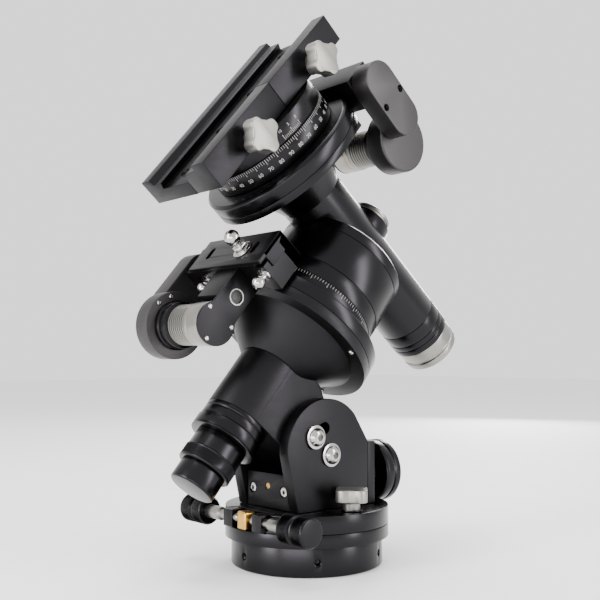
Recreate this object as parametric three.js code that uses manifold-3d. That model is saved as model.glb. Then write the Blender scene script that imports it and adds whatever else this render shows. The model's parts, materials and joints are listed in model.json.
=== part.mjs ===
// Two-axis telescope mount head: pier base, azimuth table, altitude cheeks, polar axis and saddle axis.
// Millimetres, +Z up, origin in the middle of the pier face. The polar axis lies in the XZ plane.
import * as THREE from 'three';
import { mergeVertices } from 'three/addons/utils/BufferGeometryUtils.js';
import Module from 'manifold-3d';

const wasm = await Module();
wasm.setup();

// ---- fits ----
const GAP = 0.3; // between pieces that touch in life
const RUN = 0.4; // round pieces that turn in a bore
const WHEEL_CLEAR = 1.2; // worm wheel to its case
const MESH_CLEAR = 1.5; // worm to wheel rim

// ---- base and azimuth table ----
const TABLE_R = 75;
const PIER_R = TABLE_R - 5.8;
const PIER_H = 25.2;
const BASE_TOP = 36.6;
const TABLE_TOP = 52.4;
const HUB_R = 24;
const PEG_X = 5 - TABLE_R; // azimuth peg and its two screws
const PEG_HALF = 6;
const BLOCK_IN = 14.2; // inner face of the screw blocks
const BLOCK_W = 12.8;
const SCREW_Z = 45.5;
const KNOB_Y = 55.2;
const KNOB_L = 32;
const KNOB_R = 13;
const STAR_R = 16.5; // hand knobs

// ---- altitude cheeks ----
const CHEEK_IN = 30;
const CHEEK_T = 12;
const FRONT_X = -46;
const REAR_X = 37.6;
const REAR_T = 9.3;
const PIVOT_X = -8.6;
const PIVOT_Z = 100.2;
const SLOT_R = 24.6; // arc slot round the pivot
const STUD_R = 5;
const LATITUDE = 49.6; // degrees, as drawn
const SLOT_UP = 15;
const SLOT_DOWN = 33;
const ALT_KNOB_R = 30;
const ALT_KNOB_Z = 75.3;
const ALT_KNOB_X = TABLE_R + 1;

// ---- polar axis, stations measured along the axis ----
const AXIS_Z = PIVOT_Z + 126.8; // height where the polar axis crosses the azimuth axis
const WHEEL_R = 72.5;
const CASE_RIM = 4.7;
const WHEEL_CASE_R = WHEEL_R + WHEEL_CLEAR + CASE_RIM;
const RA_CASE = [-34.9, -24.7, -11.6];
const RA_ROTOR_R = WHEEL_CASE_R - 16;
const RA_ROTOR = [5.3, 71];
const RA_HUB_R = RA_ROTOR_R - 12.4;
const CONE_TOP_R = WHEEL_CASE_R - 14.4;
const CONE_Z = -67;
const BARREL_R = CHEEK_IN - GAP;
const BARREL_END = -124.8;
const SHAFT_R = 15;
const SCOPE_R = SHAFT_R - 3;
const BORE_R = SHAFT_R + 5;
const FINDER = [-137.6, -149.7, -178.9, -197.4];

// ---- saddle axis, stations measured from the crossing point ----
const CROSS = 88.7; // crossing point along the polar axis
const DEC_TUBE_R = 31.2;
const DEC_TUBE_END = -129.6;
const DEC_CAP_END = -155;
const NECK_Z = 70;
const NECK_R = 50;
const DEC_CASE = [107, 114.5, 127.8];
const CIRCLE_R = WHEEL_CASE_R - 15;
const DEC_HUB_R = CIRCLE_R - 18.4;
const DEC_CIRCLE = [128.2, 146.4];
const PLATE_Z = 163.1;
const PLATE_T = 24;

// ---- saddle ----
const SADDLE_L = 200.4;
const SADDLE_SHIFT = -2.4;
const FIXED_Y = 45.6;
const CLAMP_Y = -51.2;
const PART_Y = -16;
const CHANNEL_Y = 20;
const CHANNEL_D = 11;
const JAW_RISE = 3;
const JAW_KNOB_X = 51.5;
const JAW_KNOB_S = 7.9; // screw height above the plate underside

// ---- worm and motor module, shared by both axes ----
const WORM_R = 8;
const WORM_X = WHEEL_R + WORM_R + MESH_CLEAR;
const WORM_BORE = WORM_R + 3 * RUN;
const MOTOR_DROP = 64;
const DRIVE_DROP = 38;
const DRUM_R = 30;
const CASE_R = 18.5;
const WALL = 3;
const BLOCK = { x0: WORM_X - 16, x1: WORM_X + 15, y0: -60, y1: 53, z0: -12.65, z1: 19 };
const HEAD_Y = 44; // where the near end of the polar block steps down
const DRUM_Y = [-59.7, -40];
const CASE_Y = [-80, -60.3];
const MOTOR_R = 19;
const MOTOR_Y = 20;
const COVER_T = 2.2;

const BIG = 32;
const MID = 20;
const SMALL = 10;

// ---- solids ----
// Position-only geometry with faces turned outward.
function tidy(geometry) {
  const flat = geometry.index ? geometry.toNonIndexed() : geometry;
  const bare = new THREE.BufferGeometry();
  bare.setAttribute('position', flat.getAttribute('position').clone());
  const merged = mergeVertices(bare, 1e-4);
  const p = merged.getAttribute('position');
  const old = merged.index.array;
  const kept = [];
  let volume = 0;
  const a = new THREE.Vector3();
  const b = new THREE.Vector3();
  const c = new THREE.Vector3();
  for (let i = 0; i < old.length; i += 3) {
    const [u, v, w] = [old[i], old[i + 1], old[i + 2]];
    if (u === v || v === w || u === w) continue;
    a.fromBufferAttribute(p, u);
    b.fromBufferAttribute(p, v);
    c.fromBufferAttribute(p, w);
    volume += a.dot(b.cross(c));
    kept.push(u, v, w);
  }
  if (volume < 0) {
    for (let i = 0; i < kept.length; i += 3) [kept[i], kept[i + 1]] = [kept[i + 1], kept[i]];
  }
  merged.setIndex(kept);
  return merged;
}

function toManifold(geometry) {
  const g = tidy(geometry);
  const mesh = new wasm.Mesh({
    numProp: 3,
    vertProperties: new Float32Array(g.getAttribute('position').array),
    triVerts: new Uint32Array(g.index.array),
  });
  mesh.merge();
  return new wasm.Manifold(mesh);
}

function toGeometry(manifold) {
  const mesh = manifold.getMesh();
  const g = new THREE.BufferGeometry();
  const n = mesh.numProp;
  const xyz = new Float32Array((mesh.vertProperties.length / n) * 3);
  for (let i = 0; i < xyz.length / 3; i += 1) {
    for (let k = 0; k < 3; k += 1) xyz[i * 3 + k] = mesh.vertProperties[i * n + k];
  }
  g.setAttribute('position', new THREE.BufferAttribute(xyz, 3));
  g.setIndex(Array.from(mesh.triVerts));
  return g;
}

function join(first, ...rest) {
  let out = toManifold(first);
  for (const g of rest) out = out.add(toManifold(g));
  return toGeometry(out);
}

function cut(first, ...rest) {
  let out = toManifold(first);
  for (const g of rest) out = out.subtract(toManifold(g));
  return toGeometry(out);
}

// Closed turned body about Z; profile is a list of [radius, z] from one end to the other.
function turned(profile, sides = BIG) {
  const pts = profile.map(([r, z]) => new THREE.Vector2(r, z));
  pts.unshift(new THREE.Vector2(0, profile[0][1]));
  pts.push(new THREE.Vector2(0, profile[profile.length - 1][1]));
  return tidy(new THREE.LatheGeometry(pts, sides).rotateX(Math.PI / 2));
}

function rod(r, z0, z1, sides = BIG) {
  return turned([[r, z0], [r, z1]], sides);
}

function ring(outer, inner, z0, z1, sides = BIG) {
  return cut(rod(outer, z0, z1, sides), rod(inner, z0 - 1, z1 + 1, sides));
}

function box(x0, x1, y0, y1, z0, z1) {
  const g = new THREE.BoxGeometry(x1 - x0, y1 - y0, z1 - z0);
  return tidy(g.translate((x0 + x1) / 2, (y0 + y1) / 2, (z0 + z1) / 2));
}

// Outline given in X and Z, drawn out along Y.
function prism(outline, y0, y1) {
  const shape = new THREE.Shape(outline.map(([x, z]) => new THREE.Vector2(x, z)));
  const g = new THREE.ExtrudeGeometry(shape, { depth: y1 - y0, bevelEnabled: false });
  return tidy(g.rotateX(Math.PI / 2).translate(0, y1, 0));
}

// Turned body laid along Y (profile z becomes y), centred on x, z.
function turnedY(profile, x, z, sides = MID) {
  return tidy(turned(profile, sides).rotateX(-Math.PI / 2).translate(x, 0, z));
}

function rodY(r, x, z, y0, y1, sides = MID) {
  return turnedY([[r, y0], [r, y1]], x, z, sides);
}

function turnedX(profile, y, z, sides = MID) {
  return tidy(turned(profile, sides).rotateY(Math.PI / 2).translate(0, y, z));
}

function arc(cx, cz, r, a0, a1, steps) {
  const pts = [];
  for (let i = 0; i <= steps; i += 1) {
    const a = THREE.MathUtils.degToRad(a0 + ((a1 - a0) * i) / steps);
    pts.push([cx + r * Math.cos(a), cz + r * Math.sin(a)]);
  }
  return pts;
}

// Four-lobed hand knob on a round hub, turned about Z, foot at z = 0.
function starKnob(r, hubR, hubH, headH, stemR, stemL) {
  const lobes = [];
  const steps = 32;
  for (let i = 0; i < steps; i += 1) {
    const a = (i / steps) * 2 * Math.PI;
    const reach = r * (0.83 + 0.17 * Math.cos(4 * a));
    lobes.push(new THREE.Vector2(reach * Math.cos(a), reach * Math.sin(a)));
  }
  const shape = new THREE.Shape(lobes);
  const head = new THREE.ExtrudeGeometry(shape, { depth: headH, bevelEnabled: false });
  head.translate(0, 0, hubH);
  return join(tidy(head), rod(hubR, 0, hubH + 1, SMALL), rod(stemR, -stemL, 1, SMALL));
}

// ---- frames ----
const lat = THREE.MathUtils.degToRad(LATITUDE);
const polarDir = new THREE.Vector3(Math.cos(lat), 0, Math.sin(lat));
const saddleDir = new THREE.Vector3(-Math.sin(lat), 0, Math.cos(lat));
const sideDir = new THREE.Vector3(0, 1, 0);
const polarFoot = new THREE.Vector3(0, 0, AXIS_Z);
const crossing = polarFoot.clone().addScaledVector(polarDir, CROSS);

// Polar frame: z along the polar axis, x on the pivot side. Saddle frame: z along the saddle axis.
const POLAR = new THREE.Matrix4().makeBasis(saddleDir.clone().negate(), sideDir, polarDir);
POLAR.setPosition(polarFoot);
const SADDLE = new THREE.Matrix4().makeBasis(polarDir, sideDir, saddleDir).setPosition(crossing);
const WORLD = new THREE.Matrix4();

// The pivot seen in the polar frame.
const pivot = new THREE.Vector3(PIVOT_X, 0, PIVOT_Z).applyMatrix4(POLAR.clone().invert());

const raMid = (RA_CASE[0] + RA_CASE[2]) / 2 + 1;
const decMid = (DEC_CASE[0] + DEC_CASE[2]) / 2;
const POLAR_MODULE = POLAR.clone().multiply(new THREE.Matrix4().makeTranslation(0, 0, raMid));
POLAR_MODULE.multiply(new THREE.Matrix4().makeRotationZ(Math.PI));
const SADDLE_MODULE = SADDLE.clone().multiply(new THREE.Matrix4().makeTranslation(0, 0, decMid));

// ---- looks ----
const BLACK = { color: 0x1b1b1d, metalness: 0.7, roughness: 0.4 };
const SILVER = { color: 0xb9bbbd, metalness: 0.9, roughness: 0.35 };
const STEEL = { color: 0xc9cacc, metalness: 1.0, roughness: 0.25 };
const BRASS = { color: 0xc8983c, metalness: 0.9, roughness: 0.35 };
const BRONZE = { color: 0xa9793c, metalness: 0.9, roughness: 0.45 };

const part = new THREE.Group();
part.name = 'telescope_mount_head';

function add(name, geometry, look, frame = WORLD) {
  const g = tidy(geometry);
  g.applyMatrix4(frame);
  const flat = g.toNonIndexed();
  flat.computeVertexNormals();
  const mesh = new THREE.Mesh(flat, new THREE.MeshStandardMaterial(look));
  mesh.name = name;
  part.add(mesh);
}

// ---- base ----
function pierAdapter() {
  const holes = [];
  for (let i = 0; i < 6; i += 1) {
    const hole = turnedX([[3.4, PIER_R - 14], [3.4, PIER_R + 2]], 0, PIER_H / 2, 16);
    holes.push(hole.rotateZ(THREE.MathUtils.degToRad(57 + 60 * i)));
  }
  return cut(turned([[PIER_R - 1, 0], [PIER_R, 1], [PIER_R, PIER_H - GAP]]), ...holes);
}

function azimuthBase() {
  const body = turned([[TABLE_R, PIER_H], [TABLE_R, BASE_TOP], [HUB_R, BASE_TOP], [HUB_R, TABLE_TOP - 2.4]]);
  return cut(body, rod(8 + RUN, BASE_TOP - 8, TABLE_TOP, MID));
}

add('pier_adapter', pierAdapter(), BLACK);
add('azimuth_base', azimuthBase(), BLACK);
add('azimuth_peg', box(PEG_X - 5.5, PEG_X + 5.5, -PEG_HALF, PEG_HALF, BASE_TOP + GAP, TABLE_TOP), BRASS);
add('azimuth_pivot_bolt', turned([[8, BASE_TOP - 6], [8, TABLE_TOP + 2 * GAP], [27, TABLE_TOP + 2 * GAP],
  [27, TABLE_TOP + 4], [14, TABLE_TOP + 4], [14, TABLE_TOP + 9]], MID), STEEL);

// ---- azimuth table ----
const notchIn = PEG_X + 10;
const blockOut = BLOCK_IN + BLOCK_W;
function azimuthPlate() {
  const body = rod(TABLE_R, BASE_TOP + GAP, TABLE_TOP);
  const notch = box(-TABLE_R - 5, notchIn, -blockOut - GAP, blockOut + GAP, BASE_TOP, TABLE_TOP + 1);
  const groove = rodY(7, PEG_X, SCREW_Z, -TABLE_R, TABLE_R, SMALL);
  const front = box(-TABLE_R - 5, PEG_X, -TABLE_R, TABLE_R, BASE_TOP, TABLE_TOP + 1);
  return cut(body, notch, groove, front, rod(HUB_R + RUN, BASE_TOP, TABLE_TOP + 1));
}

// Cheek outline: slanted front, round head, straight back.
function cheekOutline() {
  const foot = TABLE_TOP + GAP;
  const head = arc(PIVOT_X - 3.4, PIVOT_Z + 4.3, 45.3, 184, 42, 16);
  return [[REAR_X, foot], [REAR_X, PIVOT_Z + 10.4], ...head.reverse(), [FRONT_X, foot]];
}

function arcSlot(halfWidth, y0, y1) {
  const rest = 137.7;
  const a0 = rest - SLOT_DOWN;
  const a1 = rest + SLOT_UP;
  const outer = arc(PIVOT_X, PIVOT_Z, SLOT_R + halfWidth, a0, a1, 10);
  const inner = arc(PIVOT_X, PIVOT_Z, SLOT_R - halfWidth, a1, a0, 10);
  const ends = [a0, a1].map((a) => {
    const [x, z] = arc(PIVOT_X, PIVOT_Z, SLOT_R, a, a, 1)[0];
    return rodY(halfWidth, x, z, y0, y1, SMALL);
  });
  return join(prism([...outer, ...inner], y0, y1), ...ends);
}

function cheek(side) {
  const y0 = side > 0 ? CHEEK_IN + GAP : -CHEEK_IN - CHEEK_T;
  const y1 = y0 + CHEEK_T - GAP;
  return cut(
    prism(cheekOutline(), y0, y1),
    arcSlot(STUD_R + RUN, y0 - 1, y1 + 1),
    rodY(STUD_R + RUN, PIVOT_X, PIVOT_Z, y0 - 1, y1 + 1, SMALL),
  );
}

add('azimuth_plate', azimuthPlate(), BLACK);
add('cheek_near', cheek(-1), BLACK);
add('cheek_far', cheek(1), BLACK);
add('front_block', box(FRONT_X, FRONT_X + 12, -CHEEK_IN, CHEEK_IN, TABLE_TOP + GAP, TABLE_TOP + 31), BLACK);
add('rear_plate', cut(
  box(REAR_X + GAP, REAR_X + REAR_T, -CHEEK_IN - CHEEK_T, CHEEK_IN + CHEEK_T, TABLE_TOP + GAP, PIVOT_Z + 9),
  turnedX([[6 + RUN, REAR_X - 5], [6 + RUN, REAR_X + 20]], 0, ALT_KNOB_Z, SMALL),
), BLACK);

function screwBlock(side) {
  const ya = side > 0 ? BLOCK_IN : -blockOut;
  return cut(
    box(PEG_X - 5, notchIn - GAP, ya, ya + BLOCK_W, BASE_TOP + 2 * GAP, TABLE_TOP - GAP),
    rodY(4 + RUN, PEG_X, SCREW_Z, ya - 1, ya + BLOCK_W + 1, SMALL),
  );
}

function azimuthScrew(side) {
  const y = PEG_HALF + 0.4;
  const k = KNOB_Y;
  const profile = [[1.4, y], [2.8, y + 2], [4, y + 4], [4, k - 20.5], [6, k - 19.5], [6, k], [KNOB_R - 1, k],
    [KNOB_R, k + 1], [KNOB_R, k + 13], [KNOB_R - 3, k + 14], [KNOB_R - 3, k + 17], [KNOB_R, k + 18],
    [KNOB_R, k + KNOB_L - 1], [KNOB_R - 1, k + KNOB_L]];
  const body = turnedY(profile, 0, 0, SMALL);
  if (side < 0) body.rotateZ(Math.PI);
  return body.translate(PEG_X, 0, SCREW_Z);
}

add('screw_block_near', screwBlock(-1), BLACK);
add('screw_block_far', screwBlock(1), BLACK);
add('azimuth_screw_near', azimuthScrew(-1), BLACK);
add('azimuth_screw_far', azimuthScrew(1), BLACK);
add('azimuth_lock_knob', starKnob(STAR_R, 7.5, 8, 11, 6, -0.2)
  .translate(0, -(CHEEK_IN + CHEEK_T + STAR_R + 1.5), TABLE_TOP + GAP), SILVER);

// ---- altitude knob and clamp screws ----
const ak = ALT_KNOB_X;
add('altitude_knob', turnedX([[6, 14], [6, ak - 16], [14, ak - 15], [14, ak + 1], [ALT_KNOB_R - 1.5, ak + 1],
  [ALT_KNOB_R, ak + 3], [ALT_KNOB_R, ak + 11], [ALT_KNOB_R - 1.5, ak + 12.5], [ALT_KNOB_R, ak + 14],
  [ALT_KNOB_R, ak + 20], [ALT_KNOB_R - 2, ak + 22]], 0, ALT_KNOB_Z), BLACK);

function clampScrew(side, x, z) {
  const out = CHEEK_IN + CHEEK_T + GAP;
  const profile = [[STUD_R, 17], [STUD_R, out], [10.4, out], [10.4, out + 2], [8.4, out + 2], [8.0, out + 4],
    [5.6, out + 6.4], [3.2, out + 7]];
  const body = turnedY(profile, 0, 0, SMALL);
  if (side < 0) body.rotateZ(Math.PI);
  return body.translate(x, 0, z);
}

const [slotX, slotZ] = arc(PIVOT_X, PIVOT_Z, SLOT_R, 137.7, 137.7, 1)[0];
add('pivot_screw_near', clampScrew(-1, PIVOT_X, PIVOT_Z), STEEL);
add('pivot_screw_far', clampScrew(1, PIVOT_X, PIVOT_Z), STEEL);
add('slot_screw_near', clampScrew(-1, slotX, slotZ), STEEL);
add('slot_screw_far', clampScrew(1, slotX, slotZ), STEEL);

// ---- polar housing, in the polar frame ----
function polarHousing() {
  const heel = 22.4;
  const round = arc(pivot.x, pivot.z, heel, -90, 62, 10);
  const web = prism([[0, BARREL_END], ...round, [36, RA_CASE[0] - 22], [0, RA_CASE[0] - 16]],
    -BARREL_R, BARREL_R);
  const barrel = rod(BARREL_R, BARREL_END, CONE_Z + 10, MID);
  const cone = turned([[BARREL_R + 1, CONE_Z], [CONE_TOP_R, RA_CASE[0]],
    [WHEEL_CASE_R, RA_CASE[0]], [WHEEL_CASE_R, RA_CASE[1] - GAP]]);
  const slot = new THREE.Vector3(slotX, 0, slotZ).applyMatrix4(POLAR.clone().invert());
  const holes = [[pivot.x, pivot.z], [slot.x, slot.z]].flatMap(([x, z]) => [
    rodY(STUD_R + RUN, x, z, 16, BARREL_R + 1, SMALL),
    rodY(STUD_R + RUN, x, z, -BARREL_R - 1, -16, SMALL),
  ]);
  return cut(
    join(web, barrel, cone),
    rod(BORE_R, BARREL_END - 1, RA_CASE[0] + WALL + 1, MID),
    rod(WHEEL_R + WHEEL_CLEAR, RA_CASE[0] + WALL, RA_CASE[1] + 1),
    rodY(WORM_BORE, -WORM_X, raMid, -48, 48, SMALL),
    ...holes,
  );
}

// Upper half of a worm wheel case, with a window for the worm.
function wheelCover(z0, z1, wormX, wormZ) {
  return cut(
    turned([[WHEEL_CASE_R, z0], [WHEEL_CASE_R, z1 - 2], [WHEEL_CASE_R - 2, z1]]),
    rod(WHEEL_R + WHEEL_CLEAR, z0 - 1, z1 - WALL - 1),
    rod(30, z0, z1 + 1, MID),
    rodY(WORM_BORE, wormX, wormZ, -48, 48, SMALL),
  );
}

add('polar_housing', polarHousing(), BLACK, POLAR);
add('polar_wheel_cover', wheelCover(RA_CASE[1], RA_CASE[2], -WORM_X, raMid), BLACK, POLAR);
add('polar_bearing', ring(BORE_R - GAP, SHAFT_R + GAP, RA_CASE[0] - 26, RA_CASE[0] - 14, MID), STEEL, POLAR);
add('polar_wheel', ring(WHEEL_R, SHAFT_R + GAP, RA_CASE[0] + WALL + 1, RA_CASE[2] - WALL - 2, BIG), BRONZE,
  POLAR);
add('polar_shaft', ring(SHAFT_R, SCOPE_R + RUN, BARREL_END + 4, RA_ROTOR[0] + 40, MID), STEEL, POLAR);

// ---- polar finder ----
add('finder_sleeve', cut(
  turned([[BARREL_R - 0.2, BARREL_END - GAP], [BARREL_R - 0.2, FINDER[0]], [BARREL_R + 0.8, FINDER[0]],
    [BARREL_R + 0.8, FINDER[1]]], MID),
  rod(SCOPE_R + RUN, FINDER[1] - 1, BARREL_END, MID),
), BLACK, POLAR);
add('finder_ring', turned([[23.6, FINDER[2] + GAP], [24.6, FINDER[2] + 1.3], [24.6, FINDER[2] + 12.6],
  [24, FINDER[2] + 13.6], [24, FINDER[1] - GAP], [SCOPE_R, FINDER[1] - GAP], [SCOPE_R, RA_CASE[0] - 40],
  [SCOPE_R - 2.5, RA_CASE[0] - 40]], MID), BLACK, POLAR);
add('finder_cap', turned([[19.6, FINDER[3]], [20.6, FINDER[3] + 1], [20.6, FINDER[2]]], MID), BLACK,
  POLAR);

// ---- polar rotor ----
function polarRotor() {
  const body = turned([[RA_HUB_R, RA_CASE[2] + GAP], [RA_HUB_R, RA_ROTOR[0] + GAP],
    [RA_ROTOR_R, RA_ROTOR[0] + GAP], [RA_ROTOR_R, RA_ROTOR[1] - 3], [RA_ROTOR_R - 3, RA_ROTOR[1]]]);
  return cut(
    body,
    rod(SHAFT_R + GAP, RA_CASE[2] - 1, RA_ROTOR[0] + 41, MID),
    turnedX([[DEC_TUBE_R + GAP, -100], [DEC_TUBE_R + GAP, 100]], 0, CROSS, BIG),
  );
}

add('polar_rotor', polarRotor(), BLACK, POLAR);
add('polar_circle', ring(RA_ROTOR_R, RA_HUB_R + RUN, RA_CASE[2] + GAP, RA_ROTOR[0], BIG), BLACK, POLAR);

// ---- saddle-axis housing, in the saddle frame ----
const boss = DEC_TUBE_R + 2.4;
function saddleHousing() {
  const body = turned([[DEC_TUBE_R, DEC_TUBE_END], [DEC_TUBE_R, NECK_Z], [NECK_R, DEC_CASE[0]],
    [WHEEL_CASE_R, DEC_CASE[0]], [WHEEL_CASE_R, DEC_CASE[1] - GAP]]);
  return cut(
    join(body, turnedX([[24, 10], [24, boss]], 0, 0)),
    rod(BORE_R, DEC_TUBE_END - 1, DEC_CASE[0] + WALL + 1, MID),
    rod(WHEEL_R + WHEEL_CLEAR, DEC_CASE[0] + WALL, DEC_CASE[1] + 1),
    turnedX([[8 + RUN, 0], [8 + RUN, boss + 1]], 0, 0),
    rodY(WORM_BORE, WORM_X, decMid, -48, 48, SMALL),
  );
}

add('saddle_housing', saddleHousing(), BLACK, SADDLE);
add('saddle_wheel_cover', wheelCover(DEC_CASE[1], DEC_CASE[2], WORM_X, decMid), BLACK, SADDLE);
add('saddle_bearing', ring(BORE_R - GAP, SHAFT_R + GAP, NECK_Z + 16, NECK_Z + 28, MID), STEEL, SADDLE);
add('polar_clutch_knob', turnedX([[8, BORE_R + 2], [8, boss + GAP], [20, boss + GAP], [21, boss + 1.5],
  [21, boss + 3], [20, boss + 3.6], [20, boss + 4.4], [21, boss + 5], [21, boss + 8],
  [19.5, boss + 9.5]], 0, 0), SILVER, SADDLE);
add('saddle_clutch_knob', turned([[27.5, DEC_CAP_END], [29.8, DEC_CAP_END + 2], [29.8, DEC_TUBE_END - 16],
  [28.2, DEC_TUBE_END - 15], [28.2, DEC_TUBE_END - 12], [29.8, DEC_TUBE_END - 11],
  [29.8, DEC_TUBE_END - GAP]], MID), SILVER, SADDLE);

// ---- saddle and its rotor ----
add('saddle_shaft', rod(SHAFT_R, DEC_TUBE_END + 1, PLATE_Z - 4, MID), STEEL, SADDLE);
add('saddle_wheel', ring(WHEEL_R, SHAFT_R + GAP, DEC_CASE[0] + WALL + 1, DEC_CASE[2] - WALL - 2), BRONZE,
  SADDLE);
add('saddle_circle', ring(CIRCLE_R, DEC_HUB_R + RUN, DEC_CIRCLE[0], DEC_CIRCLE[1], BIG), BLACK, SADDLE);
add('saddle_rotor', cut(
  turned([[DEC_HUB_R, DEC_CIRCLE[0]], [DEC_HUB_R, DEC_CIRCLE[1] + GAP], [CIRCLE_R - 1, DEC_CIRCLE[1] + GAP],
    [CIRCLE_R - 1, PLATE_Z - GAP]]),
  rod(SHAFT_R + GAP, DEC_CIRCLE[0] - 1, PLATE_Z - 3, MID),
), BLACK, SADDLE);

const plateTop = PLATE_Z + PLATE_T;
const floorZ = plateTop - CHANNEL_D;
const screwS = PLATE_Z + JAW_KNOB_S;
const plateX0 = SADDLE_SHIFT - SADDLE_L / 2;
const plateX1 = SADDLE_SHIFT + SADDLE_L / 2;
// Outline given in Y and Z, drawn out along X.
function alongX(outline, x0, x1) {
  const turnedOutline = outline.map(([y, z]) => [-y, z]);
  return prism(turnedOutline, x0, x1).rotateZ(-Math.PI / 2);
}

function saddlePlate() {
  const body = alongX([[FIXED_Y, PLATE_Z], [FIXED_Y, plateTop], [FIXED_Y - 11.6, plateTop],
    [FIXED_Y - 13.4, plateTop - 4.8], [CHANNEL_Y, plateTop - 4.8], [CHANNEL_Y + 2.6, floorZ + 2.4],
    [CHANNEL_Y + 2.6, floorZ], [PART_Y, floorZ], [PART_Y, PLATE_Z]], plateX0, plateX1);
  const holes = [-1, 1].map((k) => rodY(4 + RUN, k * JAW_KNOB_X, screwS, PART_Y - 1, PART_Y + 16, SMALL));
  return cut(body, ...holes);
}

function jaw(x0, x1, knobX) {
  const top = plateTop + JAW_RISE;
  const y = PART_Y - GAP;
  const body = alongX([[y, PLATE_Z + GAP], [y, floorZ], [y - 3.9, floorZ + 7.6], [y - 17.5, plateTop - 1.7],
    [y - 18.5, top], [CLAMP_Y, top], [CLAMP_Y, PLATE_Z + GAP]], x0, x1);
  return cut(body, rodY(4 + RUN, knobX, screwS, CLAMP_Y - 1, PART_Y + 1, SMALL));
}

function jawKnob(x) {
  const knob = starKnob(STAR_R, 7.5, 8, 13, 4, -CLAMP_Y + PART_Y + 12);
  return knob.rotateX(Math.PI / 2).translate(x, CLAMP_Y - GAP, screwS);
}

add('saddle_plate', saddlePlate(), BLACK, SADDLE);
add('jaw_low', jaw(plateX0, -GAP / 2, -JAW_KNOB_X), BLACK, SADDLE);
add('jaw_high', jaw(GAP / 2, plateX1, JAW_KNOB_X), BLACK, SADDLE);
add('jaw_knob_low', jawKnob(-JAW_KNOB_X), SILVER, SADDLE);
add('jaw_knob_high', jawKnob(JAW_KNOB_X), SILVER, SADDLE);

// ---- worm and motor module: wheel axis is Z, worm along Y at x = WORM_X ----
function stadium(z0, z1, r, steps = 10) {
  return [...arc(WORM_X, z1, r, 0, 180, steps), ...arc(WORM_X, z0, r, 180, 360, steps)];
}

function wormBlock(low, high, steps) {
  const bite = rod(WHEEL_CASE_R + GAP, BLOCK.z0 - 1, high, BIG);
  return cut(
    box(BLOCK.x0, BLOCK.x1, BLOCK.y0, BLOCK.y1, low, BLOCK.z1),
    bite,
    rodY(WORM_BORE, WORM_X, 0, BLOCK.y0 - 1, HEAD_Y - 1, SMALL),
    ...steps,
  );
}

function worm() {
  const y = CASE_Y[0] + WALL + 1;
  const profile = [[3, y], [3, y + 2], [13, y + 2], [13, y + 12], [4, y + 12], [4, -24], [WORM_R - 1.5, -22],
    [WORM_R, -20], [WORM_R, 20], [WORM_R - 1.5, 22], [4, 24], [4, HEAD_Y - 2]];
  return turnedY(profile, WORM_X, 0, SMALL);
}

function pulley() {
  const y = CASE_Y[0] + WALL + 1;
  return turnedY([[3, y], [3, y + 2], [13, y + 2], [13, y + 12], [4, y + 12], [4, DRUM_Y[0] + 8]], WORM_X,
    -DRIVE_DROP, SMALL);
}

function transferCase() {
  return cut(
    prism(stadium(-DRIVE_DROP, 2, CASE_R), CASE_Y[0], CASE_Y[1]),
    prism(stadium(-DRIVE_DROP, 2, CASE_R - WALL), CASE_Y[0] + WALL, CASE_Y[1] + 1),
  );
}

function drum() {
  return cut(
    turnedY([[DRUM_R - 1, DRUM_Y[0]], [DRUM_R, DRUM_Y[0] + 1], [DRUM_R, DRUM_Y[1]]], WORM_X, -MOTOR_DROP,
      MID),
    rodY(4 + RUN, WORM_X, -DRIVE_DROP, DRUM_Y[0] - 1, DRUM_Y[0] + 10, SMALL),
  );
}

function motor() {
  const y = DRUM_Y[1] + GAP;
  return turnedY([[22, y], [22, y + 13.7], [MOTOR_R - 1, y + 13.7], [MOTOR_R - 1, y + 38],
    [MOTOR_R, y + 39], [MOTOR_R, MOTOR_Y]], WORM_X, -MOTOR_DROP);
}

function endCover() {
  const x0 = WORM_X - 14;
  const x1 = WORM_X + 14;
  const low = -MOTOR_DROP + MOTOR_R + 0.8;
  const top = BLOCK.z0 - GAP;
  const foot = -MOTOR_DROP + 12;
  const outline = [[x0 - 1, foot], [x1 + 1, foot], [x1, low], [x1, top], [x0, top], [x0, low]];
  const neck = prism(outline, MOTOR_Y + GAP, MOTOR_Y + COVER_T);
  return join(
    rodY(MOTOR_R, WORM_X, -MOTOR_DROP, MOTOR_Y + GAP, MOTOR_Y + COVER_T),
    neck,
    box(x0, x1, MOTOR_Y - 30, MOTOR_Y + 1, low, top),
  );
}

function addModule(prefix, frame, low, high, steps) {
  add(`${prefix}_worm_block`, wormBlock(low, high, steps), BLACK, frame);
  add(`${prefix}_worm`, worm(), STEEL, frame);
  add(`${prefix}_drive_pulley`, pulley(), BRASS, frame);
  add(`${prefix}_transfer_case`, transferCase(), BLACK, frame);
  add(`${prefix}_gearhead`, drum(), BLACK, frame);
  add(`${prefix}_motor`, motor(), SILVER, frame);
  add(`${prefix}_motor_cover`, endCover(), BLACK, frame);
}

// Near end of the polar block: a nose and a lip that the bracket head wraps.
const noseX = WORM_X + 4;
const noseZ = 13;
const lipX = BLOCK.x1 - 4;
const lipZ = -5.3;
const nose = [
  box(noseX, BLOCK.x1 + 1, HEAD_Y, BLOCK.y1 + 1, lipZ, BLOCK.z1 + 1),
  box(lipX, BLOCK.x1 + 1, HEAD_Y, BLOCK.y1 + 1, BLOCK.z0 - 1, lipZ + 1),
  box(BLOCK.x0 - 1, BLOCK.x1 + 1, HEAD_Y, BLOCK.y1 + 1, noseZ, BLOCK.z1 + 1),
];

addModule('polar', POLAR_MODULE, BLOCK.z0, RA_CASE[2] - raMid + GAP, nose);
addModule('saddle', SADDLE_MODULE, BLOCK.z0, DEC_CASE[2] - decMid + GAP, []);

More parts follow.
